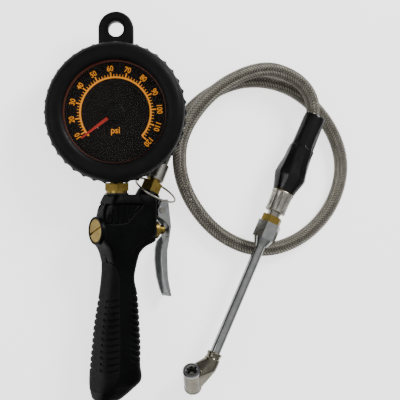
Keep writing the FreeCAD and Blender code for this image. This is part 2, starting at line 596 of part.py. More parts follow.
def make_gauge_adapter():
    """The brass adapter between the gauge's stem and the head, with its sealing washer."""
    top = S.adapter_top
    hexagon_low = top - S.adapter_hex
    frame = GUN.multiply(Placement(Vector(), Rotation(X_AXIS, -90)))
    face = S.head_top + S.washer_thick
    body = join(hexagon(S.adapter_flats, hexagon_low, top), rod(S.adapter_collar, face, hexagon_low),
                rod(S.adapter_thread, S.head_top - S.adapter_depth, face))
    keep("gauge_adapter", cut(body, rod(S.stem_shank, S.stem_end, top + 1),
                              rod(1.6, S.head_top - S.adapter_depth - 1, top)), frame)
    keep("adapter_washer", turned([(S.adapter_thread, S.head_top), (S.adapter_collar + 1.0, S.head_top),
                                   (S.adapter_collar + 1.0, face), (S.adapter_thread, face)]), frame)


def make_valve():
    """Plug, seat, poppet, spring, plunger and gland, along the valve's axis."""
    seat = S.plug_face - S.plug_thick
    plug = join(rod(S.plug_head, seat, S.plug_face), rod(S.chamber, 10, seat))
    slot = block((-12, 12), (-S.slot_width / 2, S.slot_width / 2), (S.plug_face - S.slot_depth, 30))
    keep("valve_plug", cut(plug, slot),
         VALVE.multiply(Placement(Vector(), Rotation(Z_AXIS, S.slot_turn.value))))
    keep("plug_oring", turned([(S.chamber, seat - 1.4), (8.2, seat - 1.4), (8.2, seat), (S.chamber, seat)]),
         VALVE)
    keep("valve_seat", turned([(S.seat_hole, -S.seat_front), (S.chamber, -S.seat_front),
                               (S.chamber, -S.seat_back), (S.seat_hole, -S.seat_back)]), VALVE)
    face = -S.seat_back + 0.1
    stem_end = -14.0
    keep("valve_poppet", turned([
        (0, stem_end), (1.4, stem_end), (1.4, face), (S.poppet, face), (S.poppet, face + 2.5),
        (2.6, face + 2.5), (2.6, face + 4), (0, face + 4)]), VALVE)
    keep("valve_spring", coil(S.spring_coil, S.spring_wire, face + 3.1, 10 - 3.7 - face.value, 5), VALVE)
    keep("plunger", turned([
        (0, -S.plunger_reach), (S.plunger - 2, -S.plunger_reach), (S.plunger, -S.plunger_reach + 1.8),
        (S.plunger, -19.2), (1.4, -17.2), (1.4, stem_end), (0, stem_end)]), VALVE)
    bore = S.plunger + S.slide_clear
    keep("plunger_oring", turned([(bore, -22), (5.75, -22), (5.75, -19.9), (bore, -19.9)]), VALVE)
    keep("plunger_gland", turned([
        (bore, -S.gland_reach), (S.gland_outer - 0.8, -S.gland_reach), (S.gland_outer, -S.gland_reach + 0.8),
        (S.gland_outer, -S.boss_reach), (5.8, -S.boss_reach), (5.8, -22), (bore, -22)]), VALVE)


def make_lever():
    """The pressed channel lever and the pin that it turns on."""
    half = S.lever_width / 2
    profile = LEVER_FRONT_EDGE + LEVER_BACK_EDGE
    blank = plate(profile, -half, half)
    wall = DIMENSIONS["lever_wall"]
    hollow_front = [(x - wall, y) for x, y in LEVER_FRONT_EDGE[:-1]]
    hollow_front[0] = (hollow_front[0][0], hollow_front[0][1] + 5)
    hollow_front[-1] = (hollow_front[-1][0] - 0.6, hollow_front[-1][1] + wall)
    hollow = plate(hollow_front + [(25.0, -136.7), (25.0, -59.0)], -half + S.lever_wall, half - S.lever_wall)
    holes = rod(S.pin + S.slide_clear, -half - 1, half + 1, x=S.pivot_x, y=S.pivot_y)
    keep("trigger_lever", cut(blank, hollow, holes), GUN)
    head = 1.0
    keep("lever_pin", join(rod(S.pin, -half - 0.2, half + 0.2, x=S.pivot_x, y=S.pivot_y),
                           rod(S.pin_head, -half - head, -half - 0.1, x=S.pivot_x, y=S.pivot_y),
                           rod(S.pin_head, half + 0.1, half + head, x=S.pivot_x, y=S.pivot_y)), GUN)


# Hose and chuck ----------------------------------------------------------------------------------

def make_hose_start():
    """The brass fitting on the handle's boss, the crimped ferrule and the split ring round the neck."""
    fitting = join(rod(S.fitting_thread, -10, 0), hexagon(S.fitting_flats, 0, S.fitting_hex),
                   rod(5.2, S.fitting_hex, S.fitting_hex + 2.4))
    keep("hose_fitting", cut(fitting, rod(2.0, -12, 14)), FITTING)
    low = S.fitting_hex + 2.4
    keep("gun_ferrule", turned([(2.0, low), (S.ferrule_outer - 0.4, low), (S.ferrule_outer, low + 1.5),
                                (S.ferrule_outer, S.ferrule_end), (2.0, S.ferrule_end)]), FITTING)
    wire = S.ring_wire
    ring = turned([(S.ring_mean - wire, -wire), (S.ring_mean - wire, wire), (S.ring_mean, wire * 1.7),
                   (S.ring_mean + wire, wire), (S.ring_mean + wire, -wire), (S.ring_mean, -wire * 1.7)])
    keep("split_ring", ring, Placement(RING_CENTRE, Rotation(Z_AXIS, RING_AXIS)))


def make_hose():
    """The hose as straight runs joined by tangent arcs, and a printed check of its bends and volume."""
    corners = [Vector(*point) for point in HOSE_ROUTE]
    edges, here, radii = [], corners[0], []
    for before, corner, after in zip(corners, corners[1:], corners[2:]):
        incoming, outgoing = (corner - before), (after - corner)
        turn = incoming.getAngle(outgoing)
        reach = 0.45 * min(incoming.Length, outgoing.Length)
        radii.append(reach / math.tan(turn / 2))
        start = corner - incoming.normalize() * reach
        end = corner + outgoing.normalize() * reach
        inward = (start + end) / 2 - corner
        middle = corner + inward.normalize() * (math.hypot(radii[-1], reach) - radii[-1])
        edges.append(Part.LineSegment(here, start).toShape())
        edges.append(Part.Arc(start, middle, end).toShape())
        here = end
    edges.append(Part.LineSegment(here, corners[-1]).toShape())
    path = Part.Wire(edges)
    section = Part.Wire(Part.Circle(corners[0], corners[1] - corners[0], S.hose_outer.value).toShape())
    tube = path.makePipeShell([section], True, False)
    area = math.pi * S.hose_outer.value ** 2
    print(f"hose length {path.Length:.1f}, volume ratio {tube.Volume / (area * path.Length):.5f}")
    print("hose bend radii", [round(radius) for radius in radii])
    hose = doc.addObject("Part::Feature", "Hose")
    hose.Shape = tube
    keep("hose", hose, ROW)


def make_hose_end():
    """The sleeve, coupling, ferrule, stem, nut, adapter and straight tube on the hose's far end."""
    hose = S.hose_outer
    keep("hose_coupling", cut(join(
        rod(S.coupling_body, S.crimp_end, S.hose_end), hexagon(S.coupling_hex, 155, 166)),
        rod(S.stem_bore, S.crimp_end - 1, S.hose_end + 1)), CHUCK)
    hex_room = S.coupling_hex / math.sqrt(3) + 0.1
    body_room = S.coupling_body + 0.1
    keep("bend_sleeve", turned([
        (hose + 0.1, S.sleeve_end), (hose + 2.0, S.sleeve_end), (hose + 2.5, S.hose_end - 4),
        (hose + 3.4, S.hose_end - 7), (S.sleeve_wide - 1.4, S.sleeve_level + 12),
        (S.sleeve_wide, S.sleeve_level + 1.5), (S.sleeve_wide, S.sleeve_level - 1.5),
        (S.crimp_high, S.crimp_end + 0.5), (body_room, S.crimp_end + 0.5), (body_room, 154.6),
        (hex_room, 154.8), (hex_room, 166.2), (body_room, 166.4), (body_room, S.hose_end + 0.1),
        (hose + 0.1, S.hose_end + 0.2)]), CHUCK)
    keep("chuck_ferrule", turned([
        (3.5, S.neck_end + 1), (5.1, S.neck_end + 1), (5.1, S.neck_end), (S.crimp_low, S.neck_end),
        (S.crimp_low, S.neck_end + 2), (S.crimp_low - 0.6, S.neck_end + 3),
        (S.crimp_high - 1, S.crimp_end - 3),
        (S.crimp_high, S.crimp_end - 1.6), (S.crimp_high, S.crimp_end), (3.5, S.crimp_end)]), CHUCK)
    keep("hose_stem", turned([
        (S.stem_bore, S.adapter_end), (3.5, S.adapter_end), (3.5, S.nut_end), (5.0, S.nut_end),
        (5.0, S.neck_end + 1), (3.5, S.neck_end + 1), (3.5, S.crimp_end),
        (S.stem_bore, S.crimp_end)]), CHUCK)
    keep("hose_nut", cut(hexagon(S.nut_flats, S.adapter_end, S.nut_end),
                         rod(3.5, S.adapter_end - 1, S.nut_end + 1)), CHUCK)
    cone = turned([(0, S.tube_end), (S.tube_outer + 1.2, S.tube_end),
                   (S.adapter_flat / 2 - 0.4, S.adapter_base),
                   (0, S.adapter_base)])
    keep("chuck_adapter", cut(join(cone, hexagon(S.adapter_flat, S.adapter_base, S.adapter_end)),
                              rod(S.tube_outer, S.tube_end - 1, S.adapter_base + 6),
                              rod(S.stem_bore, S.tube_end, S.adapter_end + 1)), CHUCK)
    keep("chuck_tube", turned([
        (S.tube_bore, -4), (S.tube_outer, -4), (S.tube_outer, S.adapter_base + 6),
        (S.tube_bore, S.adapter_base + 6)]), CHUCK)


def make_chuck():
    """The dual-foot chuck: its arm and foot, and in each mouth a ring, a seal, a pin and a spring."""
    elbow = CHUCK.multVec(Vector(0, 0, -3))
    toward = FOOT_CENTRE - elbow
    arm = doc.addObject("Part::Cylinder", "Arm")
    bind(arm, Radius=S.arm_radius, Height=toward.Length)
    arm.Placement = Placement(elbow, Rotation(Z_AXIS, toward))
    knuckle = doc.addObject("Part::Sphere", "Knuckle")
    bind(knuckle, Radius=S.collar_outer)
    knuckle.Placement = Placement(elbow, Rotation())
    collar = doc.addObject("Part::Cylinder", "Collar")
    bind(collar, Radius=S.collar_outer, Height=12)
    collar.Placement = shifted(CHUCK, z=-3)
    tube_room = doc.addObject("Part::Cylinder", "TubeRoom")
    bind(tube_room, Radius=S.tube_outer, Height=40)
    tube_room.Placement = shifted(CHUCK, z=-4)
    foot_room = doc.addObject("Part::Cylinder", "FootRoom")
    bind(foot_room, Radius=S.foot_outer, Height=60)
    foot_room.Placement = shifted(FOOT, z=-30)
    keep("chuck_arm", cut(join(arm, knuckle, collar), tube_room, foot_room), ROW)

    web, half = S.foot_web, S.foot_half
    barrel = cut(rod(S.foot_outer, -half, half), rod(S.foot_bore, web, half + 1),
                 rod(S.foot_bore, -half - 1, -web), rod(S.pin_radius + S.slide_clear, -web - 1, web + 1))
    keep("chuck_foot", barrel, FOOT)
    for end, flip in (("top", Rotation()), ("bottom", Rotation(X_AXIS, 180))):
        frame = FOOT.multiply(Placement(Vector(), flip))
        inner = half - 2.2
        keep(f"mouth_ring_{end}", turned([
            (S.mouth_bore, inner), (S.mouth_bore, half + S.mouth_rise - 0.5),
            (S.mouth_bore + 0.5, half + S.mouth_rise), (S.mouth_outer - 0.7, half + S.mouth_rise),
            (S.mouth_outer, half + S.mouth_rise - 0.7), (S.mouth_outer, half), (S.foot_bore, half),
            (S.foot_bore, inner)]), frame)
        keep(f"mouth_seal_{end}", turned([
            (S.mouth_bore - 0.6, inner - 2.2), (S.foot_bore, inner - 2.2), (S.foot_bore, inner),
            (S.mouth_bore - 0.6, inner)]), frame)
        keep(f"valve_pin_{end}", turned([
            (0, S.pin_gap), (S.pin_radius, S.pin_gap), (S.pin_radius, web + 2.6), (2.6, web + 2.6),
            (2.6, web + 3.4), (S.pin_radius, web + 3.4), (S.pin_radius, S.pin_reach),
            (0, S.pin_reach)]), frame)
        keep(f"pin_spring_{end}", coil(2.0, 0.32, web + 0.36, 1.85, 2.5), frame)


def check_and_export():
    """Recompute, refuse any failed object or broken shape, and write one file for each sub-part."""
    doc.recompute()
    for item in doc.Objects:
        if "Invalid" in item.State or "Error" in item.State:
            raise RuntimeError(f"{item.Name} ({item.Label}) failed: {item.State}")
    os.makedirs("parts", exist_ok=True)
    for name, item in PARTS.items():
        shape = item.Shape
        if shape.isNull() or not shape.isValid() or not shape.Solids:
            raise RuntimeError(f"{name} has no valid solid")
        print(f"{name:18s} solids {len(shape.Solids)} volume {shape.Volume:10.1f}")
        shape.exportStep(f"parts/{name}.step")


make_gauge_shells()
make_gauge_face()
make_movement()
make_backlight()
make_handle()
make_inlet()
make_gauge_adapter()
make_valve()
make_lever()
make_hose_start()
make_hose()
make_hose_end()
make_chuck()
check_and_export()
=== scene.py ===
"""Tyre inflator with a lit dial gauge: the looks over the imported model, in metres."""

import json
import math

import bmesh
import bpy
from mathutils import Matrix, Vector


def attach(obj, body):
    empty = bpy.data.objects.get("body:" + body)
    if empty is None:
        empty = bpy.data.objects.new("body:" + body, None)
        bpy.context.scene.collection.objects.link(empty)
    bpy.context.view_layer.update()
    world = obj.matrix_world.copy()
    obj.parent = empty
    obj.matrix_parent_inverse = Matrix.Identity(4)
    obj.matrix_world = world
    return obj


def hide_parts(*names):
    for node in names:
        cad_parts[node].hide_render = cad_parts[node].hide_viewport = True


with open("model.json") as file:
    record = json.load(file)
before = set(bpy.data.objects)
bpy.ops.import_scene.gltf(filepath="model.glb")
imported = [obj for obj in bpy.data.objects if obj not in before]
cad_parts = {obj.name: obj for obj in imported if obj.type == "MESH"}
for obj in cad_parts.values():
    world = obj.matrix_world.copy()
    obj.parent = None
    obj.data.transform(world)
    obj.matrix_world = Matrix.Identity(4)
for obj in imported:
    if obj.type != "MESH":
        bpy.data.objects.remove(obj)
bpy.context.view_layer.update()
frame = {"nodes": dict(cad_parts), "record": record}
MM = 0.001

# Where the gauge, the handle and the chuck lie in the row frame.
GAUGE_TILT, GUN_TILT = math.radians(16.0), math.radians(18.5)
GAUGE_CENTRE = Vector((8.535, 214.5, -2.856)) * MM
CHUCK_ORIGIN, CHUCK_LINE = Vector((82.4, 24.2, -4.7)) * MM, Vector((0.412, 0.911, 0.0)).normalized()
FOOT_CENTRE, FOOT_LINE = Vector((69.0, 11.9, -9.1)) * MM, Vector((-0.2465, 0.656, 0.715)).normalized()
FLOOR = -23.16 * MM


def frame_at(origin, turn):
    return Matrix.Translation(origin) @ turn.to_4x4()


GAUGE = frame_at(GAUGE_CENTRE, Matrix.Rotation(-GAUGE_TILT, 3, "Y"))
GUN = frame_at(GAUGE_CENTRE, Matrix.Rotation(GUN_TILT, 3, "Y"))
VALVE = GUN @ Matrix.Translation(Vector((0, -87.3, 0)) * MM) @ Matrix.Rotation(-math.pi / 2, 4, "Y")


def line_frame(origin, line):
    """A frame whose z lies along the line and whose x is level with the floor where it can be."""
    z = line.normalized()
    x = Vector((0, 0, 1)).cross(z)
    x = x.normalized() if x.length > 1e-6 else Vector((1, 0, 0))
    turn = Matrix((x, z.cross(x), z)).transposed()
    return frame_at(origin, turn)


CHUCK = line_frame(CHUCK_ORIGIN, CHUCK_LINE)
FOOT = line_frame(FOOT_CENTRE, FOOT_LINE)

# Camera and lights -------------------------------------------------------------------------------

VIEW_WIDTH, VIEW_DISTANCE = 0.300, 0.800
VIEW_CENTRE = Vector((62.4, -64.5, 0)) * MM


def make_camera():
    data = bpy.data.cameras.new("camera")
    data.angle = 2 * math.atan(VIEW_WIDTH / 2 / VIEW_DISTANCE)
    data.clip_start, data.clip_end = 0.01, 20
    camera = bpy.data.objects.new("camera", data)
    bpy.context.collection.objects.link(camera)
    camera.matrix_world = GAUGE @ Matrix.Translation(VIEW_CENTRE + Vector((0, 0, VIEW_DISTANCE)))
    bpy.context.scene.camera = camera


def area_light(name, spot, target, size, power):
    data = bpy.data.lights.new(name, "AREA")
    data.shape, data.size, data.energy = "DISK", size, power
    light = bpy.data.objects.new(name, data)
    bpy.context.collection.objects.link(light)
    light.matrix_world = line_frame(Vector(spot), Vector(spot) - Vector(target))


# Node helpers ------------------------------------------------------------------------------------


def feed(tree, socket, value):
    """Links a socket or sets a plain value on an input."""
    if isinstance(value, bpy.types.NodeSocket):
        tree.links.new(value, socket)
    elif value is not None:
        socket.default_value = value


def colour4(value):
    return (*value, 1.0) if len(value) == 3 else tuple(value)


class Graph:
    """Adds nodes to the node tree of a material or of Geometry Nodes."""

    def add(self, kind, inputs=(), **props):
        node = self.tree.nodes.new(kind)
        for key, value in props.items():
            setattr(node, key, value)
        for key, value in dict(inputs).items():
            feed(self.tree, node.inputs[key], value)
        return node

    def math(self, operation, *values):
        node = self.add("ShaderNodeMath", operation=operation)
        for socket, value in zip(node.inputs, values):
            feed(self.tree, socket, value)
        return node.outputs[0]


class Finish(Graph):
    """A procedural material on Object coordinates, built up from a few named steps."""

    def __init__(self, name, **sockets):
        self.material = bpy.data.materials.new(name)
        self.material.use_nodes = True
        self.tree = self.material.node_tree
        self.shader = self.tree.nodes["Principled BSDF"]
        self.place = self.add("ShaderNodeTexCoord").outputs["Object"]
        for key, value in sockets.items():
            socket = self.shader.inputs[key.replace("_", " ")]
            socket.default_value = colour4(value) if isinstance(value, tuple) else value

    def noise(self, scale, detail=3.0, rough=0.5, stretch=None):
        place = self.place
        if stretch:
            place = self.add("ShaderNodeMapping", {"Vector": place, "Scale": stretch}).outputs[0]
        node = self.add("ShaderNodeTexNoise",
                        {"Vector": place, "Scale": scale, "Detail": detail, "Roughness": rough})
        return node.outputs["Fac"]

    def grains(self, scale):
        node = self.add("ShaderNodeTexVoronoi", {"Vector": self.place, "Scale": scale})
        return node.outputs["Distance"]

    def spread(self, value, low, high, start=0.3, end=0.7):
        node = self.add("ShaderNodeMapRange", {"Value": value, "From Min": start, "From Max": end,
                                               "To Min": low, "To Max": high})
        return node.outputs["Result"]

    def mix(self, share, first, second):
        node = self.add("ShaderNodeMix", data_type="RGBA")
        for name, value in (("Factor_Float", share), ("A_Color", first), ("B_Color", second)):
            socket = next(item for item in node.inputs if item.identifier == name)
            feed(self.tree, socket, colour4(value) if isinstance(value, tuple) else value)
        return next(item for item in node.outputs if item.identifier == "Result_Color")

    def colour(self, value):
        feed(self.tree, self.shader.inputs["Base Color"], value)

    def rough(self, value):
        feed(self.tree, self.shader.inputs["Roughness"], value)

    def bump(self, *layers):
        """Stacks bumps; a layer is (height, depth in millimetres)."""
        normal = None
        for height, depth in layers:
            node = self.add("ShaderNodeBump", {"Strength": 1.0, "Distance": depth * MM, "Height": height})
            if normal:
                feed(self.tree, node.inputs["Normal"], normal)
            normal = node.outputs["Normal"]
        feed(self.tree, self.shader.inputs["Normal"], normal)


def moulded(name, dark, light, grain, depth, rough, **sockets):
    """Rubber or plastic from a textured mould: faint colour clouds, uneven gloss and a fine grain."""
    finish = Finish(name, **sockets)
    clouds = finish.spread(finish.noise(90, 4), 0, 1)
    finish.colour(finish.mix(clouds, dark, light))
    finish.rough(finish.spread(finish.noise(400, 2), rough - 0.07, rough + 0.07))
    finish.bump((finish.noise(grain, 2), depth), (finish.grains(grain * 0.6), depth * 0.6))
    return finish.material


def machined(name, dark, light, rough, scratch=(1, 1, 8)):
    """Bare or plated metal: tarnish clouds, fine tool marks and small pits."""
    finish = Finish(name, Metallic=1.0)
    clouds = finish.spread(finish.noise(160, 5, 0.6), 0, 1)
    finish.colour(finish.mix(clouds, dark, light))
    marks = finish.noise(900, 3, 0.6, stretch=scratch)
    finish.rough(finish.spread(marks, rough - 0.08, rough + 0.10))
    finish.bump((marks, 0.006), (finish.noise(2500, 2), 0.003))
    return finish.material


# Moulded finishes: dark and light colour, grain per metre, grain depth in mm, roughness, other sockets.
MOULDED = {
    "boot_rubber": ((0.0012, 0.0012, 0.0013), (0.003, 0.003, 0.0032), 1300, 0.10, 0.46,
                    {"Specular_IOR_Level": 0.14}),
    "seal_rubber": ((0.012, 0.012, 0.012), (0.02, 0.02, 0.02), 900, 0.02, 0.55, {}),
    "handle_plastic": ((0.0010, 0.0011, 0.0011), (0.0022, 0.0024, 0.0024), 2200, 0.03, 0.38,
                       {"Specular_IOR_Level": 0.06}),
    "grip_rubber": ((0.0022, 0.0024, 0.0022), (0.0045, 0.0048, 0.0045), 1800, 0.03, 0.55,
                    {"Specular_IOR_Level": 0.07}),
    "cap_black": ((0.0012, 0.001, 0.001), (0.002, 0.0018, 0.0018), 2500, 0.01, 0.5,
                  {"Specular_IOR_Level": 0.1}),
    "sleeve_black": ((0.001, 0.001, 0.0011), (0.002, 0.002, 0.0022), 500, 0.04, 0.20,
                     {"Specular_IOR_Level": 0.28}),
    "dial_black": ((0.004, 0.0025, 0.002), (0.006, 0.004, 0.003), 3000, 0.01, 0.7,
                   {"Specular_IOR_Level": 0.1}),
    "board_green": ((0.01, 0.09, 0.03), (0.02, 0.13, 0.05), 1500, 0.02, 0.4, {}),
    "lit_ring": ((0.035, 0.006, 0.002), (0.08, 0.014, 0.003), 800, 0.02, 0.45,
                 {"Emission_Color": (1.0, 0.12, 0.01), "Emission_Strength": 0.025}),
    "lamp": ((0.8, 0.5, 0.2), (0.9, 0.6, 0.25), 900, 0.01, 0.3,
             {"Emission_Color": (1.0, 0.5, 0.12), "Emission_Strength": 1.0}),
    "pointer_red": ((0.25, 0.004, 0.0), (0.36, 0.008, 0.001), 2500, 0.008, 0.5,
                    {"Emission_Color": (1.0, 0.03, 0.0), "Emission_Strength": 0.16}),
    "scale_lit": ((0.30, 0.09, 0.0), (0.42, 0.14, 0.0), 2500, 0.004, 0.6,
                  {"Emission_Color": (1.0, 0.34, 0.005), "Emission_Strength": 0.70}),
    "hose_inside": ((0.008, 0.007, 0.006), (0.014, 0.012, 0.010), 900, 0.02, 0.6, {}),
}
# Metals: dark and light colour, roughness and, where it isn't the usual one, the stretch of the marks.
MACHINED = {
    "brass": ((0.18, 0.122, 0.026), (0.31, 0.22, 0.056), 0.32),
    "lever_zinc": ((0.26, 0.27, 0.27), (0.38, 0.39, 0.39), 0.40, (1, 6, 1)),
    "case_steel": ((0.35, 0.34, 0.33), (0.50, 0.49, 0.48), 0.34),
    "bright_steel": ((0.28, 0.27, 0.24), (0.40, 0.38, 0.34), 0.28),
    "chrome": ((0.26, 0.268, 0.262), (0.38, 0.388, 0.38), 0.10),
    "chuck_nickel": ((0.13, 0.12, 0.094), (0.21, 0.195, 0.155), 0.18),
}
# The lit scale is print that shines with the ring round the dial.
BRAID_SHADE, SHADED_HAND = 1.0, 0.62
WIRE_WAVES = 17.0


def make_materials():
    made = {name: moulded(name, *look, **sockets) for name, (*look, sockets) in MOULDED.items()}
    made.update({name: machined(name, *look) for name, look in MACHINED.items()})
    made["poppet_rubber"] = made["seal_rubber"]
    made["braid"] = make_braid_finish("braid", BRAID_SHADE)
    made["braid_shaded"] = make_braid_finish("braid_shaded", SHADED_HAND)
    made["lens_clear"] = make_lens_finish()
    return made


def make_braid_finish(name, shade):
    """Flat bands of bright wires, with painted shade where they dive under the bands of the other hand and in
    the grooves between the wires; shade darkens the whole colour as painted shade for the hand drawn darker.
    """
    finish = Finish(name, Metallic=0.75)
    across = finish.add("ShaderNodeAttribute", attribute_name="across").outputs["Fac"]
    wires = finish.math("SINE", finish.math("MULTIPLY", across, WIRE_WAVES))
    clouds = finish.spread(finish.noise(220, 4), 0, 1)
    bright = finish.mix(clouds, tuple(part * shade for part in (0.52, 0.48, 0.39)),
                        tuple(part * shade for part in (0.74, 0.70, 0.60)))
    # Painted shade in the grooves between the wires.
    low = finish.spread(wires, 0.25, 1.0, -1.0, 0.2)
    over = finish.add("ShaderNodeAttribute", attribute_name="over").outputs["Fac"]
    # Painted shade where a strand dives under the other hand, times the groove shade.
    weave_shade = finish.math("MULTIPLY", low, finish.spread(over, 0.0, 1.0, -0.6, 0.7))
    finish.colour(finish.mix(weave_shade, (0.022, 0.019, 0.014), bright))
    finish.rough(finish.spread(finish.noise(900, 2), 0.30, 0.44))
    finish.bump((wires, 0.12))
    return finish.material


def make_lens_finish():
    """A clear lens as a faint gloss over what lies under it."""
    finish = Finish("lens_clear", IOR=1.49, Alpha=0.06, Base_Color=(0.03, 0.03, 0.026))
    finish.rough(finish.spread(finish.noise(60, 3), 0.05, 0.09))
    return finish.material


# Geometry Nodes helper ---------------------------------------------------------------------------


class Tree(Graph):
    """A Geometry Nodes tree with named sizes as its inputs."""

    def __init__(self, name, sizes):
        self.tree = bpy.data.node_groups.new(name, "GeometryNodeTree")
        face = self.tree.interface
        face.new_socket("Geometry", in_out="INPUT", socket_type="NodeSocketGeometry")
        self.sockets = {}
        for key, kind in sizes.items():
            self.sockets[key] = face.new_socket(key, in_out="INPUT", socket_type=f"NodeSocket{kind}")
        face.new_socket("Geometry", in_out="OUTPUT", socket_type="NodeSocketGeometry")
        self.input = self.tree.nodes.new("NodeGroupInput")
        self.output = self.tree.nodes.new("NodeGroupOutput")

    def size(self, key):
        return self.input.outputs[key]

    def vector(self, operation, first, second=None, scale=None):
        node = self.add("ShaderNodeVectorMath", operation=operation)
        feed(self.tree, node.inputs[0], first)
        if second is None:
            feed(self.tree, node.inputs["Scale"], scale)
        else:
            feed(self.tree, node.inputs[1], second)
        return node.outputs[0]

    def total(self, *vectors):
        result = vectors[0]
        for item in vectors[1:]:
            result = self.vector("ADD", result, item)
        return result

    def close(self, geometry):
        """Realizes the copies, gives them their material and ends the tree."""
        real = self.add("GeometryNodeRealizeInstances", {"Geometry": geometry}).outputs[0]
        painted = self.add("GeometryNodeSetMaterial", {"Geometry": real, "Material": self.size("Finish")})
        feed(self.tree, self.output.inputs[0], painted.outputs[0])
        return self

    def grow(self, name, base, values, at=Matrix()):
        """Runs the tree on a base object and keeps the result as a plain mesh in the row frame."""
        modifier = base.modifiers.new("grow", "NODES")
        modifier.node_group = self.tree
        for key, value in values.items():
            modifier[self.sockets[key].identifier] = value
        mesh = evaluated_mesh(base)
        bpy.data.objects.remove(base)
        mesh.transform(at)
        return show(name, mesh)


def evaluated_mesh(item):
    bpy.context.view_layer.update()
    graph = bpy.context.evaluated_depsgraph_get()
    return bpy.data.meshes.new_from_object(item.evaluated_get(graph), depsgraph=graph)


def show(name, mesh):
    mesh.name = name
    piece = bpy.data.objects.new(name, mesh)
    bpy.context.collection.objects.link(piece)
    return piece


def settle(piece, slot, body="root", *nodes):
    """Gives a piece its finish, its body and the CAD nodes it stands for."""
    piece.data.materials.clear()
    piece.data.materials.append(FINISHES[slot])
    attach(piece, body)
    if nodes:
        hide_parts(*nodes)


# Hose --------------------------------------------------------------------------------------------

HOSE_ROUTE = [
    (0.0452, 0.1776, -0.0152), (0.0585, 0.2075, -0.0175), (0.0815, 0.2325, -0.0175),
    (0.1165, 0.2465, -0.0175), (0.1545, 0.2405, -0.0175), (0.1845, 0.2155, -0.0175),
    (0.1995, 0.1805, -0.0175), (0.1895, 0.1445, -0.0175), (0.1635, 0.1185, -0.0175),
    (0.1285, 0.1080, -0.0175), (0.0945, 0.1205, -0.0175), (0.0710, 0.1455, -0.0167),
    (0.0580, 0.1735, -0.0107), (0.0595, 0.2035, -0.0052), (0.0855, 0.2365, -0.0052),
    (0.1245, 0.2550, -0.0052), (0.1515, 0.2480, -0.0052), (0.1660, 0.2335, -0.0050),
    (0.1681, 0.2137, -0.0047), (0.1603, 0.1964, -0.0047),
]
HOSE_RADIUS, HOSE_LENGTH = 5.5 * MM, 0.6233
BRAID_MIDDLE, BRAID_LEAN = 5.15 * MM, math.radians(50)
BRAID_STRANDS, BRAID_STEPS = 12, 820
BAND_HALF, WIRE_HALF, WEAVE_LIFT = 0.66 * MM, 0.16 * MM, 0.20 * MM
CORE_BELOW_BRAID = 0.25 * MM
BAND_CROWN = -0.35


def hose_line(name, bevel):
    data = bpy.data.curves.new(name, "CURVE")
    data.dimensions, data.resolution_u = "3D", 16
    spline = data.splines.new("NURBS")
    spline.points.add(len(HOSE_ROUTE) - 1)
    for point, place in zip(spline.points, HOSE_ROUTE):
        point.co = (*place, 1.0)
    spline.order_u, spline.use_endpoint_u = 3, True
    data.bevel_depth, data.bevel_resolution, data.use_fill_caps = bevel, 5, bevel > 0
    line = bpy.data.objects.new(name, data)
    bpy.context.collection.objects.link(line)
    return line


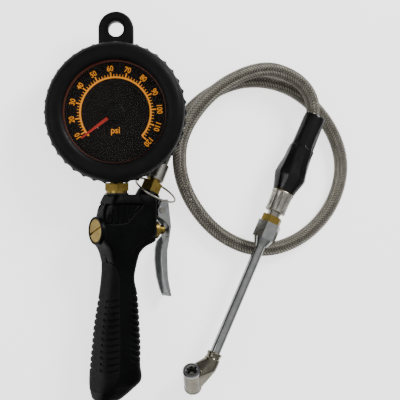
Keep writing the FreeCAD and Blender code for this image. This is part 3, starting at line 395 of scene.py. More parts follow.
def braid_tree():
    """Strands wound along a line: each weaves two over and two under those of the other hand."""
    tree = Tree("braid", {"Strands": "Int", "Turns": "Float", "Steps": "Int", "Radius": "Float",
                          "Band": "Float", "Wire": "Float", "Weave": "Float", "Hand": "Float",
                          "Finish": "Material"})
    size, math_, vector = tree.size, tree.math, tree.vector
    strand = tree.add("GeometryNodeMeshCylinder", {"Vertices": 6, "Side Segments": size("Steps"),
                                                   "Radius": 1.0, "Depth": 1.0}).outputs["Mesh"]
    starts = tree.add("GeometryNodeMeshLine",
                      {"Count": size("Strands"), "Offset": (0.0, 0.0, 0.0)}).outputs[0]
    index = tree.add("GeometryNodeInputIndex").outputs[0]
    keep = tree.add("GeometryNodeCaptureAttribute", {"Geometry": starts})
    keep.capture_items.new("INT", "Start")
    feed(tree.tree, keep.inputs["Start"], index)
    copies = tree.add("GeometryNodeInstanceOnPoints", {"Points": keep.outputs["Geometry"],
                                                       "Instance": strand}).outputs[0]
    real = tree.add("GeometryNodeRealizeInstances", {"Geometry": copies}).outputs[0]
    position = tree.add("GeometryNodeInputPosition").outputs[0]
    spot = tree.add("ShaderNodeSeparateXYZ", {"Vector": position})
    across, thick = spot.outputs[0], spot.outputs[1]
    along = math_("ADD", spot.outputs[2], 0.5)
    start = math_("DIVIDE", keep.outputs["Start"], size("Strands"))
    turned = math_("MULTIPLY", size("Turns"), along)
    angle = math_("MULTIPLY", math_("ADD", math_("MULTIPLY", turned, size("Hand")), start), 2 * math.pi)
    wave = math_("MULTIPLY", math_("MULTIPLY", turned, size("Strands")), math.pi)
    phase = math_("ADD", wave, math_("MULTIPLY", keep.outputs["Start"], math.pi))
    lift = math_("COSINE", math_("ADD", phase, math_("MULTIPLY", size("Hand"), math.pi / 4)))
    over = math_("MULTIPLY", lift, size("Hand"))
    lift = math_("MULTIPLY", over, size("Weave"))
    line = tree.add("GeometryNodeSampleCurve",
                    {"Curves": tree.input.outputs["Geometry"], "Factor": along},
                    mode="FACTOR", use_all_curves=True)
    normal, ahead = line.outputs["Normal"], line.outputs["Tangent"]
    side = vector("CROSS_PRODUCT", ahead, normal)
    cosine, sine = math_("COSINE", angle), math_("SINE", angle)
    out = tree.total(vector("SCALE", normal, scale=cosine), vector("SCALE", side, scale=sine))
    round_ = vector("CROSS_PRODUCT", ahead, out)
    slope = math_("MULTIPLY", size("Hand"), -math.sin(BRAID_LEAN))
    wide = tree.total(vector("SCALE", round_, scale=math.cos(BRAID_LEAN)),
                      vector("SCALE", ahead, scale=slope))
    crown = math_("MULTIPLY", math_("MULTIPLY", across, across), BAND_CROWN)
    height = math_("ADD", math_("ADD", size("Radius"), lift),
                   math_("MULTIPLY", math_("ADD", thick, crown), size("Wire")))
    place = tree.total(line.outputs["Position"], vector("SCALE", out, scale=height),
                       vector("SCALE", wide, scale=math_("MULTIPLY", across, size("Band"))))
    stored = real
    for name, value in (("across", across), ("over", over)):
        stored = tree.add("GeometryNodeStoreNamedAttribute",
                          {"Geometry": stored, "Name": name, "Value": value},
                          data_type="FLOAT", domain="POINT").outputs[0]
    moved = tree.add("GeometryNodeSetPosition", {"Geometry": stored, "Position": place}).outputs[0]
    return tree.close(moved)


def make_hose():
    core = hose_line("hose_core", BRAID_MIDDLE - CORE_BELOW_BRAID)
    # The core is the hose's own dark inner tube; its near-black colour also stands in as painted shade in the
    # gaps between the strands.
    core.data.materials.append(FINISHES["hose_inside"])
    turns = HOSE_LENGTH * math.tan(BRAID_LEAN) / (2 * math.pi * BRAID_MIDDLE)
    tree = braid_tree()
    for name, hand, finish in (("braid_right", 1.0, "braid"), ("braid_left", -1.0, "braid_shaded")):
        piece = tree.grow(name, hose_line("line", 0.0), {
            "Strands": BRAID_STRANDS, "Turns": turns, "Steps": BRAID_STEPS, "Radius": BRAID_MIDDLE,
            "Band": BAND_HALF, "Wire": WIRE_HALF, "Weave": WEAVE_LIFT, "Hand": hand,
            "Finish": FINISHES[finish]})
        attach(piece, "root")
    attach(core, "root")
    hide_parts("hose")


# Mesh helpers ------------------------------------------------------------------------------------


def smooth_step(value, low, high):
    share = min(max((value - low) / (high - low), 0.0), 1.0)
    return share * share * (3 - 2 * share)


def eased(table, at):
    """A smooth curve through (position, value, ...) rows, read at one position."""
    rows = sorted(table)
    if at <= rows[0][0]:
        return rows[0][1:]
    if at >= rows[-1][0]:
        return rows[-1][1:]
    last = next(number for number, row in enumerate(rows) if row[0] > at)
    a, b = rows[last - 1], rows[last]
    before, after = rows[max(last - 2, 0)], rows[min(last + 1, len(rows) - 1)]
    span = b[0] - a[0]
    t = (at - a[0]) / span
    result = []
    for k in range(1, len(a)):
        left = (b[k] - before[k]) / (b[0] - before[0]) * span
        right = (after[k] - a[k]) / (after[0] - a[0]) * span
        result.append((2 * t ** 3 - 3 * t ** 2 + 1) * a[k] + (t ** 3 - 2 * t ** 2 + t) * left
                      + (3 * t ** 2 - 2 * t ** 3) * b[k] + (t ** 3 - t ** 2) * right)
    return result


def clean(mesh, sharp=40.0):
    """Merges doubles, turns faces outwards and shades all but the sharp edges smooth."""
    work = bmesh.new()
    work.from_mesh(mesh)
    bmesh.ops.remove_doubles(work, verts=work.verts, dist=1e-6)
    bmesh.ops.dissolve_degenerate(work, edges=work.edges, dist=1e-7)
    bmesh.ops.recalc_face_normals(work, faces=work.faces)
    for face in work.faces:
        face.smooth = True
    limit = math.radians(sharp)
    for edge in work.edges:
        edge.smooth = len(edge.link_faces) == 2 and edge.calc_face_angle(0.0) < limit
    work.to_mesh(mesh)
    work.free()
    return mesh


def shell_mesh(name, rings, loop=False):
    """A closed skin through rings of equal length; a loop joins its last ring to its first."""
    count = len(rings[0])
    points = [tuple(point) for ring in rings for point in ring]
    faces = []
    pairs = len(rings) if loop else len(rings) - 1
    for row in range(pairs):
        low, high = row * count, (row + 1) % len(rings) * count
        for k in range(count):
            after = (k + 1) % count
            faces.append((low + k, low + after, high + after, high + k))
    if not loop:
        faces.append(tuple(range(count))[::-1])
        faces.append(tuple(range((len(rings) - 1) * count, len(rings) * count)))
    mesh = bpy.data.meshes.new(name)
    mesh.from_pydata(points, [], faces)
    return mesh


def lathe(name, profile, at, steps=96, shape=None, sharp=40.0):
    """Turns a closed profile of (radius, height) in millimetres; shape may alter a radius by angle."""
    rings = []
    for number in range(steps):
        angle = 2 * math.pi * number / steps
        ring = []
        for radius, height in profile:
            reach = shape(radius, height, angle) if shape else radius
            ring.append(Vector((reach * math.cos(angle), reach * math.sin(angle), height)) * MM)
        rings.append(ring)
    mesh = shell_mesh(name, rings, loop=True)
    clean(mesh, sharp=sharp)
    mesh.transform(at)
    return mesh


def rounded(points, radius=0.5, steps=3):
    """Rounds the corners of a closed profile."""
    result = []
    count = len(points)
    for number, point in enumerate(points):
        here = Vector(point)
        before, after = Vector(points[number - 1]), Vector(points[(number + 1) % count])
        reach = min(radius, (before - here).length * 0.45, (after - here).length * 0.45)
        if point[0] < 1e-6 or reach < 1e-4:
            result.append(tuple(point))
            continue
        start = here + (before - here).normalized() * reach
        end = here + (after - here).normalized() * reach
        for step in range(steps + 1):
            t = step / steps
            result.append(tuple(start * (1 - t) ** 2 + here * 2 * t * (1 - t) + end * t * t))
    return result


def plate_mesh(name, outline, low, high, at, bevel=0.0, segments=2):
    """A flat outline in millimetres given its thickness, with its rims eased."""
    work = bmesh.new()
    face = work.faces.new([work.verts.new(Vector((x, y, low)) * MM) for x, y in outline])
    up = bmesh.ops.extrude_face_region(work, geom=[face])
    moved = [item for item in up["geom"] if isinstance(item, bmesh.types.BMVert)]
    bmesh.ops.translate(work, verts=moved, vec=Vector((0, 0, high - low)) * MM)
    if bevel:
        rims = [edge for edge in work.edges
                if abs(edge.verts[0].co.z - edge.verts[1].co.z) < 1e-7]
        bmesh.ops.bevel(work, geom=rims, offset=bevel * MM, segments=segments, profile=0.5, affect="EDGES")
    mesh = bpy.data.meshes.new(name)
    work.to_mesh(mesh)
    work.free()
    clean(mesh)
    mesh.transform(at)
    return mesh


def gather(name, meshes):
    """Several closed meshes as one piece."""
    work = bmesh.new()
    for mesh in meshes:
        work.from_mesh(mesh)
    mesh = bpy.data.meshes.new(name)
    work.to_mesh(mesh)
    work.free()
    return show(name, mesh)


def carved(name, mesh, additions=(), cutters=()):
    """Joins and cuts closed meshes by exact booleans, and keeps the result."""
    base = show(name, mesh)
    helpers = []
    for operation, group in (("UNION", additions), ("DIFFERENCE", cutters)):
        for other in group:
            helper = show("helper", other)
            helpers.append(helper)
            modifier = base.modifiers.new("carve", "BOOLEAN")
            modifier.operation, modifier.solver, modifier.object = operation, "EXACT", helper
    mesh = evaluated_mesh(base)
    for item in helpers + [base]:
        bpy.data.objects.remove(item)
    clean(mesh, sharp=35.0)
    return show(name, mesh)


def ring_points(radius, steps, x=0.0, y=0.0):
    return [(x + radius * math.cos(2 * math.pi * k / steps), y + radius * math.sin(2 * math.pi * k / steps))
            for k in range(steps)]


# Gauge boot --------------------------------------------------------------------------------------

BOOT_FLUTES, BOOT_CUSP, BOOT_VALLEY = 40, 53.0, 50.7
FLUTED_FROM = 44.0
# The boot's section as (radius, height): its outside from the back opening to the lip, then its inside.
BOOT_OUTSIDE = [
    (33.0, -10.4), (36.2, -10.4), (44.2, -8.4), (50.2, -5.2), (52.2, -2.6), (53.0, 0.4), (53.0, 4.0),
    (53.0, 8.0), (53.0, 12.0), (53.0, 15.0), (52.7, 16.4), (51.4, 17.4), (51.0, 17.9), (51.2, 18.5),
    (51.4, 19.6), (51.3, 21.2), (50.8, 23.0), (49.7, 24.7), (48.0, 25.8), (45.9, 26.4), (43.4, 26.5),
    (41.0, 26.2), (39.2, 25.5), (38.1, 24.5), (37.6, 23.7),
]
BOOT_INSIDE = [(37.7, 23.35), (45.6, 23.35), (45.6, -3.3), (41.1, -7.8), (33.0, -7.8)]
LUG_HALF, EYE_AT, EYE_RADIUS, EYE_SINK, NECK_RADIUS = 13.0, 62.3, 5.7, 7.9, 10.25


def boot_radius(radius, height, angle):
    """Concave flutes round the back part of the boot, fading into the smooth lip and the back."""
    if radius < FLUTED_FROM:
        return radius
    share = smooth_step(height, -6.0, -1.0) * (1 - smooth_step(height, 15.2, 17.4))
    hollow = math.sin(math.pi * ((angle * BOOT_FLUTES / (2 * math.pi)) % 1.0)) ** 0.85
    return radius - (BOOT_CUSP - BOOT_VALLEY) * hollow * share


def make_boot():
    body = lathe("boot", BOOT_OUTSIDE + BOOT_INSIDE, GAUGE, 480, boot_radius)
    arch = [(LUG_HALF * math.cos(math.pi * k / 24), EYE_AT + LUG_HALF * math.sin(math.pi * k / 24))
            for k in range(25)]
    lug = plate_mesh("lug", arch + [(-LUG_HALF, 50.0), (LUG_HALF, 50.0)], 2.0, 11.0, GAUGE, 1.6, 3)
    eye = plate_mesh("eye", ring_points(EYE_RADIUS, 48, 0, EYE_AT), 0.0, 13.0, GAUGE)
    sink = plate_mesh("sink", ring_points(EYE_SINK, 48, 0, EYE_AT), 9.9, 13.0, GAUGE)
    way = GAUGE @ Matrix.Rotation(math.pi / 2, 4, "X")
    neck = plate_mesh("neck", ring_points(NECK_RADIUS, 48), 43.6, 56.0, way)
    boot = carved("gauge_boot_shell", body, [lug], [eye, sink, neck])
    settle(boot, "boot_rubber", "root", "gauge_boot")


# Dial --------------------------------------------------------------------------------------------

DIAL_TOP, PRINT = 13.0, 0.12
FIRST_MARK, MARK_STEP, MARKS, FINE_PER_MARK = 212.3, -23.05, 12, 5
SCALE_START, SCALE_END = 221.0, -41.25
SCALE_INNER, SCALE_OUTER = 25.4, 26.75
NUMBER_RING, UNIT_AT = 32.5, -13.2
LIT_SECTION = [(37.1, 18.9), (37.5, 13.1), (42.2, 13.1), (42.2, 18.9)]


def round_tree():
    """Copies of a piece at equal steps round z."""
    tree = Tree("set_round", {"Count": "Int", "First": "Float", "Step": "Float", "Finish": "Material"})
    spots = tree.add("GeometryNodeMeshLine",
                     {"Count": tree.size("Count"), "Offset": (0.0, 0.0, 0.0)}).outputs[0]
    index = tree.add("GeometryNodeInputIndex").outputs[0]
    angle = tree.math("ADD", tree.size("First"), tree.math("MULTIPLY", index, tree.size("Step")))
    turn = tree.add("ShaderNodeCombineXYZ", {"Z": tree.math("RADIANS", angle)}).outputs[0]
    copies = tree.add("GeometryNodeInstanceOnPoints",
                      {"Points": spots, "Instance": tree.input.outputs["Geometry"], "Rotation": turn})
    return tree.close(copies.outputs[0])


def bar_mesh(name, length, width, low, high, start):
    half, end = width / 2, start + length
    return plate_mesh(name, [(start, -half), (end, -half), (end, half), (start, half)], low, high, Matrix())


def arc_mesh(name, inner, outer, first, last, low, high, at, steps=160):
    rings = []
    for k in range(steps + 1):
        angle = math.radians(first + (last - first) * k / steps)
        ring = [Vector((r * math.cos(angle), r * math.sin(angle), h)) * MM
                for r, h in ((inner, low), (outer, low), (outer, high), (inner, high))]
        rings.append(ring)
    mesh = shell_mesh(name, rings)
    clean(mesh)
    mesh.transform(at)
    return mesh


def lettering(text, size, at, bold, narrow):
    data = bpy.data.curves.new("text", "FONT")
    data.body, data.size, data.align_x, data.align_y = text, size * MM, "CENTER", "CENTER"
    data.extrude, data.offset, data.resolution_u = PRINT / 2 * MM, bold * MM, 4
    item = bpy.data.objects.new("text", data)
    bpy.context.collection.objects.link(item)
    mesh = evaluated_mesh(item)
    bpy.data.objects.remove(item)
    mesh.transform(at @ Matrix.Diagonal((narrow, 1.0, 1.0, 1.0)))
    return mesh


def make_dial():
    around = round_tree()
    low, high = DIAL_TOP, DIAL_TOP + PRINT
    marks = []
    fine_count = (MARKS - 1) * FINE_PER_MARK + 1
    for name, length, width, step, count in (
            ("fine_marks", 1.9, 0.5, MARK_STEP / FINE_PER_MARK, fine_count),
            ("bold_marks", 3.5, 0.95, MARK_STEP, MARKS)):
        base = show("mark", bar_mesh("mark", length, width, low, high, SCALE_OUTER - 0.2))
        marks.append(around.grow(name, base, {"Count": count, "First": FIRST_MARK, "Step": step,
                                              "Finish": FINISHES["scale_lit"]}, GAUGE))
    band = show("scale_band", arc_mesh("scale_band", SCALE_INNER, SCALE_OUTER, SCALE_START, SCALE_END,
                                       low, high, GAUGE))
    middle = (low + high) / 2
    numbers = []
    for place in range(MARKS):
        angle = math.radians(FIRST_MARK + place * MARK_STEP)
        spot = Vector((NUMBER_RING * math.cos(angle), NUMBER_RING * math.sin(angle), middle)) * MM
        at = GAUGE @ Matrix.Translation(spot) @ Matrix.Rotation(angle - math.pi / 2, 4, "Z")
        numbers.append(lettering(str(10 * (place + 1)), 5.7, at, 0.07, 0.86))
    unit = Matrix.Translation(Vector((0, UNIT_AT, middle)) * MM)
    numbers.append(lettering("psi", 6.8, GAUGE @ unit, 0.05, 0.95))
    print_ = gather("dial_numbers", numbers)
    for piece in marks + [band, print_]:
        settle(piece, "scale_lit")
    rim = lathe("rim", rounded(LIT_SECTION, 0.3), GAUGE, 160)
    settle(show("light_ring_lit", rim), "lit_ring", "root", "light_ring")


# Floor and studio --------------------------------------------------------------------------------

# What the camera sees of the floor and the studio is paler than the light that they give.
FLOOR_GLOW, FLOOR_BOUNCE, SKY_LOW, SKY_HIGH, BACKDROP = 1.8, 0.7, 0.10, 0.75, 2.2
FLOOR_HALF = 3.0
LIGHTS_AIM = (0.05, 0.15, 0.0)


def make_stage():
    mesh = bpy.data.meshes.new("floor")
    corners = [(x * FLOOR_HALF, y * FLOOR_HALF, FLOOR) for x, y in ((-1, -1), (1, -1), (1, 1), (-1, 1))]
    mesh.from_pydata(corners, [], [(0, 1, 2, 3)])
    floor = show("floor", mesh)
    finish = Finish("floor", Base_Color=(0.95, 0.95, 0.95), Roughness=0.9, Emission_Color=(1.0, 1.0, 1.0))
    direct = finish.add("ShaderNodeLightPath").outputs["Is Camera Ray"]
    feed(finish.tree, finish.shader.inputs["Emission Strength"],
         finish.spread(direct, FLOOR_BOUNCE, FLOOR_GLOW))
    mesh.materials.append(finish.material)
    world = bpy.data.worlds.new("studio")
    world.use_nodes = True
    tree = world.node_tree
    aim = tree.nodes.new("ShaderNodeTexCoord").outputs["Generated"]
    part = tree.nodes.new("ShaderNodeSeparateXYZ")
    feed(tree, part.inputs[0], aim)
    rise = tree.nodes.new("ShaderNodeMapRange")
    for key, value in (("Value", part.outputs["Z"]), ("From Min", 0.05), ("From Max", 0.95),
                       ("To Min", SKY_LOW), ("To Max", SKY_HIGH)):
        feed(tree, rise.inputs[key], value)
    seen = tree.nodes.new("ShaderNodeMix")
    seen.data_type = "FLOAT"
    feed(tree, seen.inputs[0], tree.nodes.new("ShaderNodeLightPath").outputs["Is Camera Ray"])
    feed(tree, seen.inputs[2], rise.outputs["Result"])
    seen.inputs[3].default_value = BACKDROP
    back = tree.nodes["Background"]
    back.inputs["Color"].default_value = (1.0, 1.0, 1.0, 1.0)
    feed(tree, back.inputs["Strength"], seen.outputs[0])
    bpy.context.scene.world = world
    area_light("key", (0.75, 0.95, 0.75), LIGHTS_AIM, 0.5, 15.0)
    area_light("fill", (-1.0, 0.2, 0.8), LIGHTS_AIM, 0.6, 3.0)


# Handle ------------------------------------------------------------------------------------------

# Distance below the gauge centre, back, front, half thickness, squareness of the section.
HANDLE_SECTIONS = [
    (60.3, -6.6, 28.4, 11.0, 8.0), (66.0, -9.3, 29.6, 12.0, 8.0), (78.5, -15.5, 29.9, 12.6, 7.0),
    (87.3, -17.0, 29.9, 12.9, 6.5), (93.5, -16.8, 29.9, 12.9, 6.2), (95.6, -16.0, 29.2, 12.9, 6.2),
    (97.4, -14.8, 25.8, 12.9, 6.0), (99.3, -13.2, 21.2, 12.9, 5.8), (101.5, -11.7, 18.2, 12.8, 5.5),
    (105.5, -10.2, 15.0, 12.5, 5.0), (113.0, -8.8, 12.6, 12.0, 4.4), (123.5, -9.5, 11.0, 12.0, 4.0),
    (134.8, -11.0, 13.4, 13.0, 3.8), (149.0, -13.5, 14.5, 14.5, 3.6), (160.4, -15.1, 14.9, 15.5, 3.6),
    (175.7, -16.4, 15.2, 16.6, 3.6), (187.2, -17.1, 14.3, 17.4, 3.8), (198.7, -17.6, 14.7, 17.4, 4.2),
    (205.5, -18.2, 8.0, 14.5, 4.2), (211.5, -18.3, 1.6, 11.2, 3.2), (213.0, -18.0, 0.0, 9.6, 2.8),
]
# How far forward the soft cover reaches, by distance below the gauge centre.
COVER_EDGE = [
    (104.6, -13.0), (106.0, -10.8), (110.0, -9.6), (115.0, -6.6), (121.0, -4.2), (129.0, -4.0),
    (140.0, -4.8), (165.0, -5.8), (191.0, -7.2), (195.7, -8.8), (200.0, -11.4), (204.3, -14.4),
    (206.6, -17.4),
]
# The moulded detail is laid out on a plane that leans across the handle's flank.
LEAN_ACROSS, LEAN_DEEP = 0.824, 0.566
SCOOP_RIBS = (-2.3, 1.8, 5.9, 9.5, 13.2)
SCOOP_TOP, SCOOP_FOOT, SCOOP_DEPTH, SCOOP_RIB_RISE = 66.0, 84.0, 1.7, 1.3
FINGER_TOP, FINGER_FOOT, FINGER_PITCH, FINGER_WIDTH, FINGER_DEPTH = 132.0, 187.0, 4.4, 2.0, 0.75
CREASE_DEPTH = 0.55
PALM_TOP, PALM_FOOT, PALM_PITCH, PALM_WIDTH, PALM_DEPTH = 136.0, 192.6, 4.65, 2.1, 0.95
SHELL_TOP, SHELL_FOOT, COVER_TOP, COVER_FOOT = 60.35, 213.0, 104.9, 206.2
COVER_RECESS, SEAM_DEPTH, COVER_PROUD, COVER_DEEP = 0.8, 0.45, 0.12, 1.5
PIVOT_X, PIVOT_Y, LUG_RADIUS = 36.8, -72.1, 3.9
# Sections turned round the valve's axis and the hose port's axis, as (radius, height).
BOSS_SECTION = [(0, 6), (10.6, 6), (10.6, 18.7), (8.8, 18.7), (8.8, 16.3), (0, 16.3)]
NOSE_SECTION = [(0, -20), (0, -31), (8.0, -31), (8.6, -20)]
SPOUT_SECTION = [(0, -14), (10.6, -14), (9.2, -3), (8.9, 0), (0, 0)]


def across_flank(point):
    return LEAN_ACROSS * point.x + LEAN_DEEP * abs(point.z)


def section_point(below, angle):
    """A point of the handle's skin, in millimetres of the gun frame, with its outward direction."""
    back, front, half, square = eased(HANDLE_SECTIONS, below)
    middle, reach = (back + front) / 2, (front - back) / 2
    cosine, sine = math.cos(angle), math.sin(angle)
    scale = (abs(cosine) ** square + abs(sine) ** square) ** (-1.0 / square)
    x, z = cosine * scale, sine * scale
    out = Vector((math.copysign(abs(x) ** (square - 1), x) / reach, 0,
                  math.copysign(abs(z) ** (square - 1), z) / half)).normalized()
    return Vector((middle + x * reach, -below, z * half)), out


def groove(value, pitch, width):
    """One rounded groove each pitch: 1 at its bottom, 0 on the land."""
    off = abs((value / pitch + 0.5) % 1.0 - 0.5) * pitch
    return max(0.0, 1.0 - (off / (width / 2)) ** 2)


def handle_relief(point, below):
    """How deep the moulded grooves, ribs and scoop lie below the skin at a point."""
    seen = across_flank(point)
    depth = 0.0
    if FINGER_TOP < below < FINGER_FOOT and seen > 10.5:
        slant = below - 134.0 - 0.55 * (seen - 12.0)
        fade = smooth_step(seen, 10.8, 12.6) * smooth_step(below, 132.5, 135.5)
        fade *= 1 - smooth_step(below, 183.0, 186.0)
        depth += FINGER_DEPTH * fade * groove(slant, FINGER_PITCH, FINGER_WIDTH)
    if SCOOP_TOP < below < SCOOP_FOOT:
        left = -9.4 + 1.6 * ((below - 75.0) / 8.0) ** 2
        right = 8.6 + (81.5 - below) * 0.86
        inside = min(seen - left, right - seen, below - 67.0, 82.9 - 0.12 * abs(seen) - below)
        ribs = max(1 - (abs(seen - rib) / 1.1) ** 2 for rib in SCOOP_RIBS)
        floor = smooth_step(inside, 0.0, 1.1)
        depth += floor * (SCOOP_DEPTH - SCOOP_RIB_RISE * max(0.0, ribs) * smooth_step(inside, 0.4, 1.6))
    if 11.0 < seen < 29.8 and 90.0 < below < 112.0:
        crease = 91.6 + 11.8 * max(0.0, (29.6 - seen) / 17.8) ** 1.7
        fade = smooth_step(seen, 11.0, 14.0) * (1 - smooth_step(below, 103.0, 110.0))
        depth += CREASE_DEPTH * smooth_step(below - crease, -0.5, 0.5) * fade
    return depth


def cover_relief(point, below):
    """How deep the palm grooves lie in the soft cover at a point."""
    seen = across_flank(point)
    ends = smooth_step(below, PALM_TOP, PALM_TOP + 2.2) * (1 - smooth_step(below, PALM_FOOT - 2.0, PALM_FOOT))
    sag = 1.1 * (1 - ((seen + 4.5) / 7.5) ** 2)
    side = smooth_step(abs(point.z), 4.6, 5.6) * (1 - smooth_step(seen, 2.2, 3.2))
    return PALM_DEPTH * ends * side * groove(below - 138.5 - sag, PALM_PITCH, PALM_WIDTH)


def cover_angle(below):
    """The section angle at which the soft cover's edge lies."""
    edge = eased(COVER_EDGE, below)[0]
    low, high = math.pi / 2 * 0.35, math.pi
    for _ in range(40):
        middle = (low + high) / 2
        if section_point(below, middle)[0].x > edge:
            low = middle
        else:
            high = middle
    return (low + high) / 2


def even_angles(below, first, last, count):
    """Section angles that divide the skin between two angles into equal lengths."""
    fine = 240
    angles = [first + (last - first) * k / fine for k in range(fine + 1)]
    points = [section_point(below, angle)[0] for angle in angles]
    lengths = [0.0]
    for a, b in zip(points, points[1:]):
        lengths.append(lengths[-1] + (b - a).length)
    result, at = [], 0
    for k in range(count + 1):
        wanted = lengths[-1] * k / count
        while at < fine - 1 and lengths[at + 1] < wanted:
            at += 1
        share = (wanted - lengths[at]) / max(lengths[at + 1] - lengths[at], 1e-9)
        result.append(angles[at] + (angles[at + 1] - angles[at]) * min(max(share, 0.0), 1.0))
    return result


def shell_rings(rows=400, columns=180):
    """The hard shell's rings, sunk under the soft cover and grooved along the cover's edge."""
    rings = []
    for row in range(rows + 1):
        below = SHELL_TOP + (SHELL_FOOT - SHELL_TOP) * row / rows
        edge = eased(COVER_EDGE, below)[0]
        ring = []
        for angle in even_angles(below, 0.0, 2 * math.pi, columns)[:-1]:
            point, out = section_point(below, angle)
            depth = handle_relief(point, below)
            if 105.0 < below < 206.5:
                depth += COVER_RECESS * (1 - smooth_step(point.x, edge - 1.6, edge - 0.9))
                near = abs(point.x - edge - 0.1)
                depth += SEAM_DEPTH * max(0.0, 1 - (near / 0.7) ** 2) * smooth_step(below, 106.0, 109.0)
            ring.append((point - out * depth) * MM)
        rings.append(ring)
    return rings


def cover_rings(rows=330, columns=90):
    """The soft cover's rings, each out along the skin and back inside it."""
    rings = []
    for row in range(rows + 1):
        below = COVER_TOP + (COVER_FOOT - COVER_TOP) * row / rows
        first = cover_angle(below)
        outer, inner = [], []
        for number, angle in enumerate(even_angles(below, first, 2 * math.pi - first, columns)):
            point, out = section_point(below, angle)
            rolled = 0.35 * max(0.0, 1 - min(number, columns - number) / 2.0)
            depth = cover_relief(point, below) - COVER_PROUD + rolled
            outer.append((point - out * depth) * MM)
            inner.append((point - out * COVER_DEEP) * MM)
        rings.append(outer + inner[::-1])
    return rings


def skin(name, rings):
    """A skin of the handle, cleaned and brought from the gun's frame to the row frame."""
    mesh = shell_mesh(name, rings)
    clean(mesh, sharp=60)
    mesh.transform(GUN)
    return mesh


def make_handle():
    body = skin("handle", shell_rings())
    boss = lathe("boss", rounded(BOSS_SECTION, 0.7), VALVE, 72)
    nose = lathe("nose", rounded(NOSE_SECTION, 0.8), VALVE, 72)
    lean = Matrix.Rotation(math.radians(-25.0), 4, "Z") @ Matrix.Rotation(-math.pi / 2, 4, "X")
    port = GUN @ Matrix.Translation(Vector((28.6, -58.7, 0)) * MM) @ lean
    spout = lathe("spout", rounded(SPOUT_SECTION, 0.9), port, 72)
    low, high = PIVOT_Y - LUG_RADIUS, PIVOT_Y + LUG_RADIUS
    end = [(PIVOT_X + LUG_RADIUS * math.sin(math.pi * k / 12),
            PIVOT_Y - LUG_RADIUS * math.cos(math.pi * k / 12)) for k in range(1, 12)]
    outline = [(24, low), (PIVOT_X, low)] + end + [(PIVOT_X, high), (24, high)]
    lug = plate_mesh("lug", outline, -3.7, 3.7, GUN, 0.5)
    piece = gather("handle_shell", [body, boss, nose, spout, lug])
    settle(piece, "handle_plastic", "root", "handle_body")
    settle(show("grip_cover", skin("cover", cover_rings())), "grip_rubber", "root", "grip_overmould")


# Hose end ----------------------------------------------------------------------------------------

# Sections along the chuck's axis as (radius, height).
SLEEVE_SECTION = [
    (9.0, 145.4), (9.2, 147.0), (10.4, 150.5), (11.9, 154.6), (12.8, 157.6), (12.9, 158.8), (12.7, 160.2),
    (11.9, 164.0), (11.1, 168.5), (10.5, 173.0), (10.2, 178.0), (10.0, 182.6), (9.4, 183.4), (9.2, 184.2),
    (9.1, 188.0), (9.0, 194.0), (8.9, 200.0), (8.8, 206.0), (8.7, 209.4), (8.3, 210.5), (7.6, 210.8),
    (6.4, 210.6), (5.9, 209.5), (5.9, 192.0), (8.6, 186.0), (9.2, 180.0), (9.2, 160.0), (8.4, 152.0),
    (8.2, 145.4),
]
FERRULE_SECTION = [
    (5.1, 127.6), (7.6, 127.6), (8.1, 128.0), (8.15, 128.8), (7.9, 129.6), (7.9, 134.0), (8.1, 138.0),
    (8.3, 142.0), (8.75, 143.2), (8.85, 144.2), (8.6, 144.7), (5.6, 144.75),
]
FACET = math.pi / 5


def faceted(radius, height, angle):
    """Ten loose facets where the sleeve has shrunk on to the coupling, with slight creases."""
    if radius < 7.0:
        return radius
    turn = angle + 0.012 * (height - 150.0)
    off = (turn % FACET) - FACET / 2
    flat = radius * (math.cos(FACET / 2) / math.cos(off))
    share = smooth_step(height, 147, 158) * (1 - 0.55 * smooth_step(height, 186, 205))
    crease = 0.16 * math.sin(5 * angle + height * 0.9) * share
    return radius + (flat - radius) * 0.8 * share + crease


def crimped(radius, height, angle):
    """Eight crimps pressed into the ferrule."""
    if radius < 6.5:
        return radius
    share = smooth_step(height, 129.3, 131.0) * (1 - smooth_step(height, 141.6, 143.2))
    off = abs((angle / (math.pi / 4)) % 1.0 - 0.5) * 2
    return radius - share * (1 - smooth_step(off, 0.10, 0.42))


def make_hose_end():
    """The shrunk sleeve over the coupling, and the crimped ferrule below it."""
    mesh = lathe("sleeve", SLEEVE_SECTION, CHUCK, 120, faceted, sharp=28)
    settle(show("bend_sleeve_shrunk", mesh), "sleeve_black", "root", "bend_sleeve")
    mesh = lathe("ferrule", FERRULE_SECTION, CHUCK, 128, crimped)
    settle(show("chuck_ferrule_crimped", mesh), "bright_steel", "root", "chuck_ferrule")


RING_CENTRE, RING_AXIS = Vector((39.25, 157.6, -6.23)) * MM, Vector((0.39, 0.837, 0.383))
RING_MEAN, RING_WIRE, RING_RISE, RING_TURNS = 16.7, 0.52, 0.53, 2.0


def coil_mesh(name, at, mean, wire, low, high, turns, steps, sides=10):
    """A round wire wound about z, with closed ends."""
    rings = []
    for k in range(steps + 1):
        share = k / steps
        angle = 2 * math.pi * turns * share
        out = Vector((math.cos(angle), math.sin(angle), 0))
        centre = out * mean + Vector((0, 0, low + (high - low) * share))
        ring = []
        for n in range(sides):
            turn = 2 * math.pi * n / sides
            ring.append((centre + (out * math.cos(turn) + Vector((0, 0, math.sin(turn)))) * wire) * MM)
        rings.append(ring)
    mesh = shell_mesh(name, rings)
    clean(mesh)
    mesh.transform(at)
    return mesh


def make_split_ring():
    ring = coil_mesh("ring", line_frame(RING_CENTRE, RING_AXIS), RING_MEAN, RING_WIRE,
                     -RING_RISE, RING_RISE, RING_TURNS, 160)
    settle(show("split_ring_wire", ring), "bright_steel", "ring", "split_ring")


# Chuck -------------------------------------------------------------------------------------------

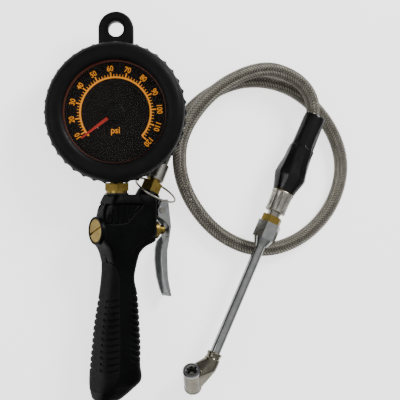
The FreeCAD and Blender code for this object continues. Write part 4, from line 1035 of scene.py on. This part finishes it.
# The web reaches the foot's barrel between two heights, and the tube's end through four rings.
ARM_HEIGHTS, ARM_TURNS, ARM_REACH = (-9.6, 9.0), (-75, -50, -25, 0, 25, 50, 75), 6.3
ARM_RINGS = ((-6.5, 4.6), (-4.4, 6.0), (1.5, 6.3), (2.6, 5.9))
COLLAR_SECTION = [(0, 1.0), (6.1, 1.0), (6.2, 3.6), (5.4, 4.4), (5.4, 6.6), (5.9, 7.0), (5.9, 8.6),
                  (5.2, 9.0), (0, 9.0)]
TUBE_ROOM, FOOT_ROOM = 4.02, 6.62


def make_chuck_arm():
    """The cast arm: a broad flat-sided web from the collar round the tube to the barrel of the foot."""
    to_foot = FOOT_CENTRE - CHUCK_ORIGIN
    out = (-to_foot - FOOT_LINE * (-to_foot).dot(FOOT_LINE)).normalized()
    side = FOOT_LINE.cross(out)
    points = []
    for height in ARM_HEIGHTS:
        for turn in ARM_TURNS:
            angle = math.radians(turn)
            points.append(FOOT_CENTRE + FOOT_LINE * height * MM
                          + (out * math.cos(angle) + side * math.sin(angle)) * ARM_REACH * MM)
    for height, radius in ARM_RINGS:
        points += [CHUCK @ (Vector((x, y, height)) * MM) for x, y in ring_points(radius, 20)]
    work = bmesh.new()
    for point in points:
        work.verts.new(point)
    hull = bmesh.ops.convex_hull(work, input=work.verts)
    spare = [item for item in hull["geom_interior"] if isinstance(item, bmesh.types.BMVert)]
    bmesh.ops.delete(work, geom=spare, context="VERTS")
    bmesh.ops.bevel(work, geom=[edge for edge in work.edges if edge.calc_face_angle(0) > 0.5],
                    offset=0.5 * MM, segments=2, profile=0.5, affect="EDGES")
    web = bpy.data.meshes.new("web")
    work.to_mesh(web)
    work.free()
    clean(web)
    collar = lathe("collar", rounded(COLLAR_SECTION, 0.4), CHUCK, 64)
    tube_room = plate_mesh("room", ring_points(TUBE_ROOM, 48), -4.0, 30.0, CHUCK)
    foot_room = plate_mesh("room", ring_points(FOOT_ROOM, 64), -30.0, 30.0, FOOT)
    arm = carved("chuck_arm_cast", web, [collar], [tube_room, foot_room])
    settle(arm, "chuck_nickel", "root", "chuck_arm")


# The scene ---------------------------------------------------------------------------------------


def paint_cad_nodes():
    """Every CAD node that stays in sight gets the finish of its slot."""
    for entry in frame["record"]["subparts"]:
        node = frame["nodes"].get(entry["node"])
        finish = FINISHES.get(entry["material_slot"])
        if node is None or finish is None:
            continue
        if not node.data.materials:
            node.data.materials.append(finish)
        for place in range(len(node.data.materials)):
            node.data.materials[place] = finish


FINISHES = make_materials()
make_camera()
make_hose()
make_stage()
make_boot()
make_dial()
make_handle()
make_hose_end()
make_split_ring()
make_chuck_arm()
paint_cad_nodes()
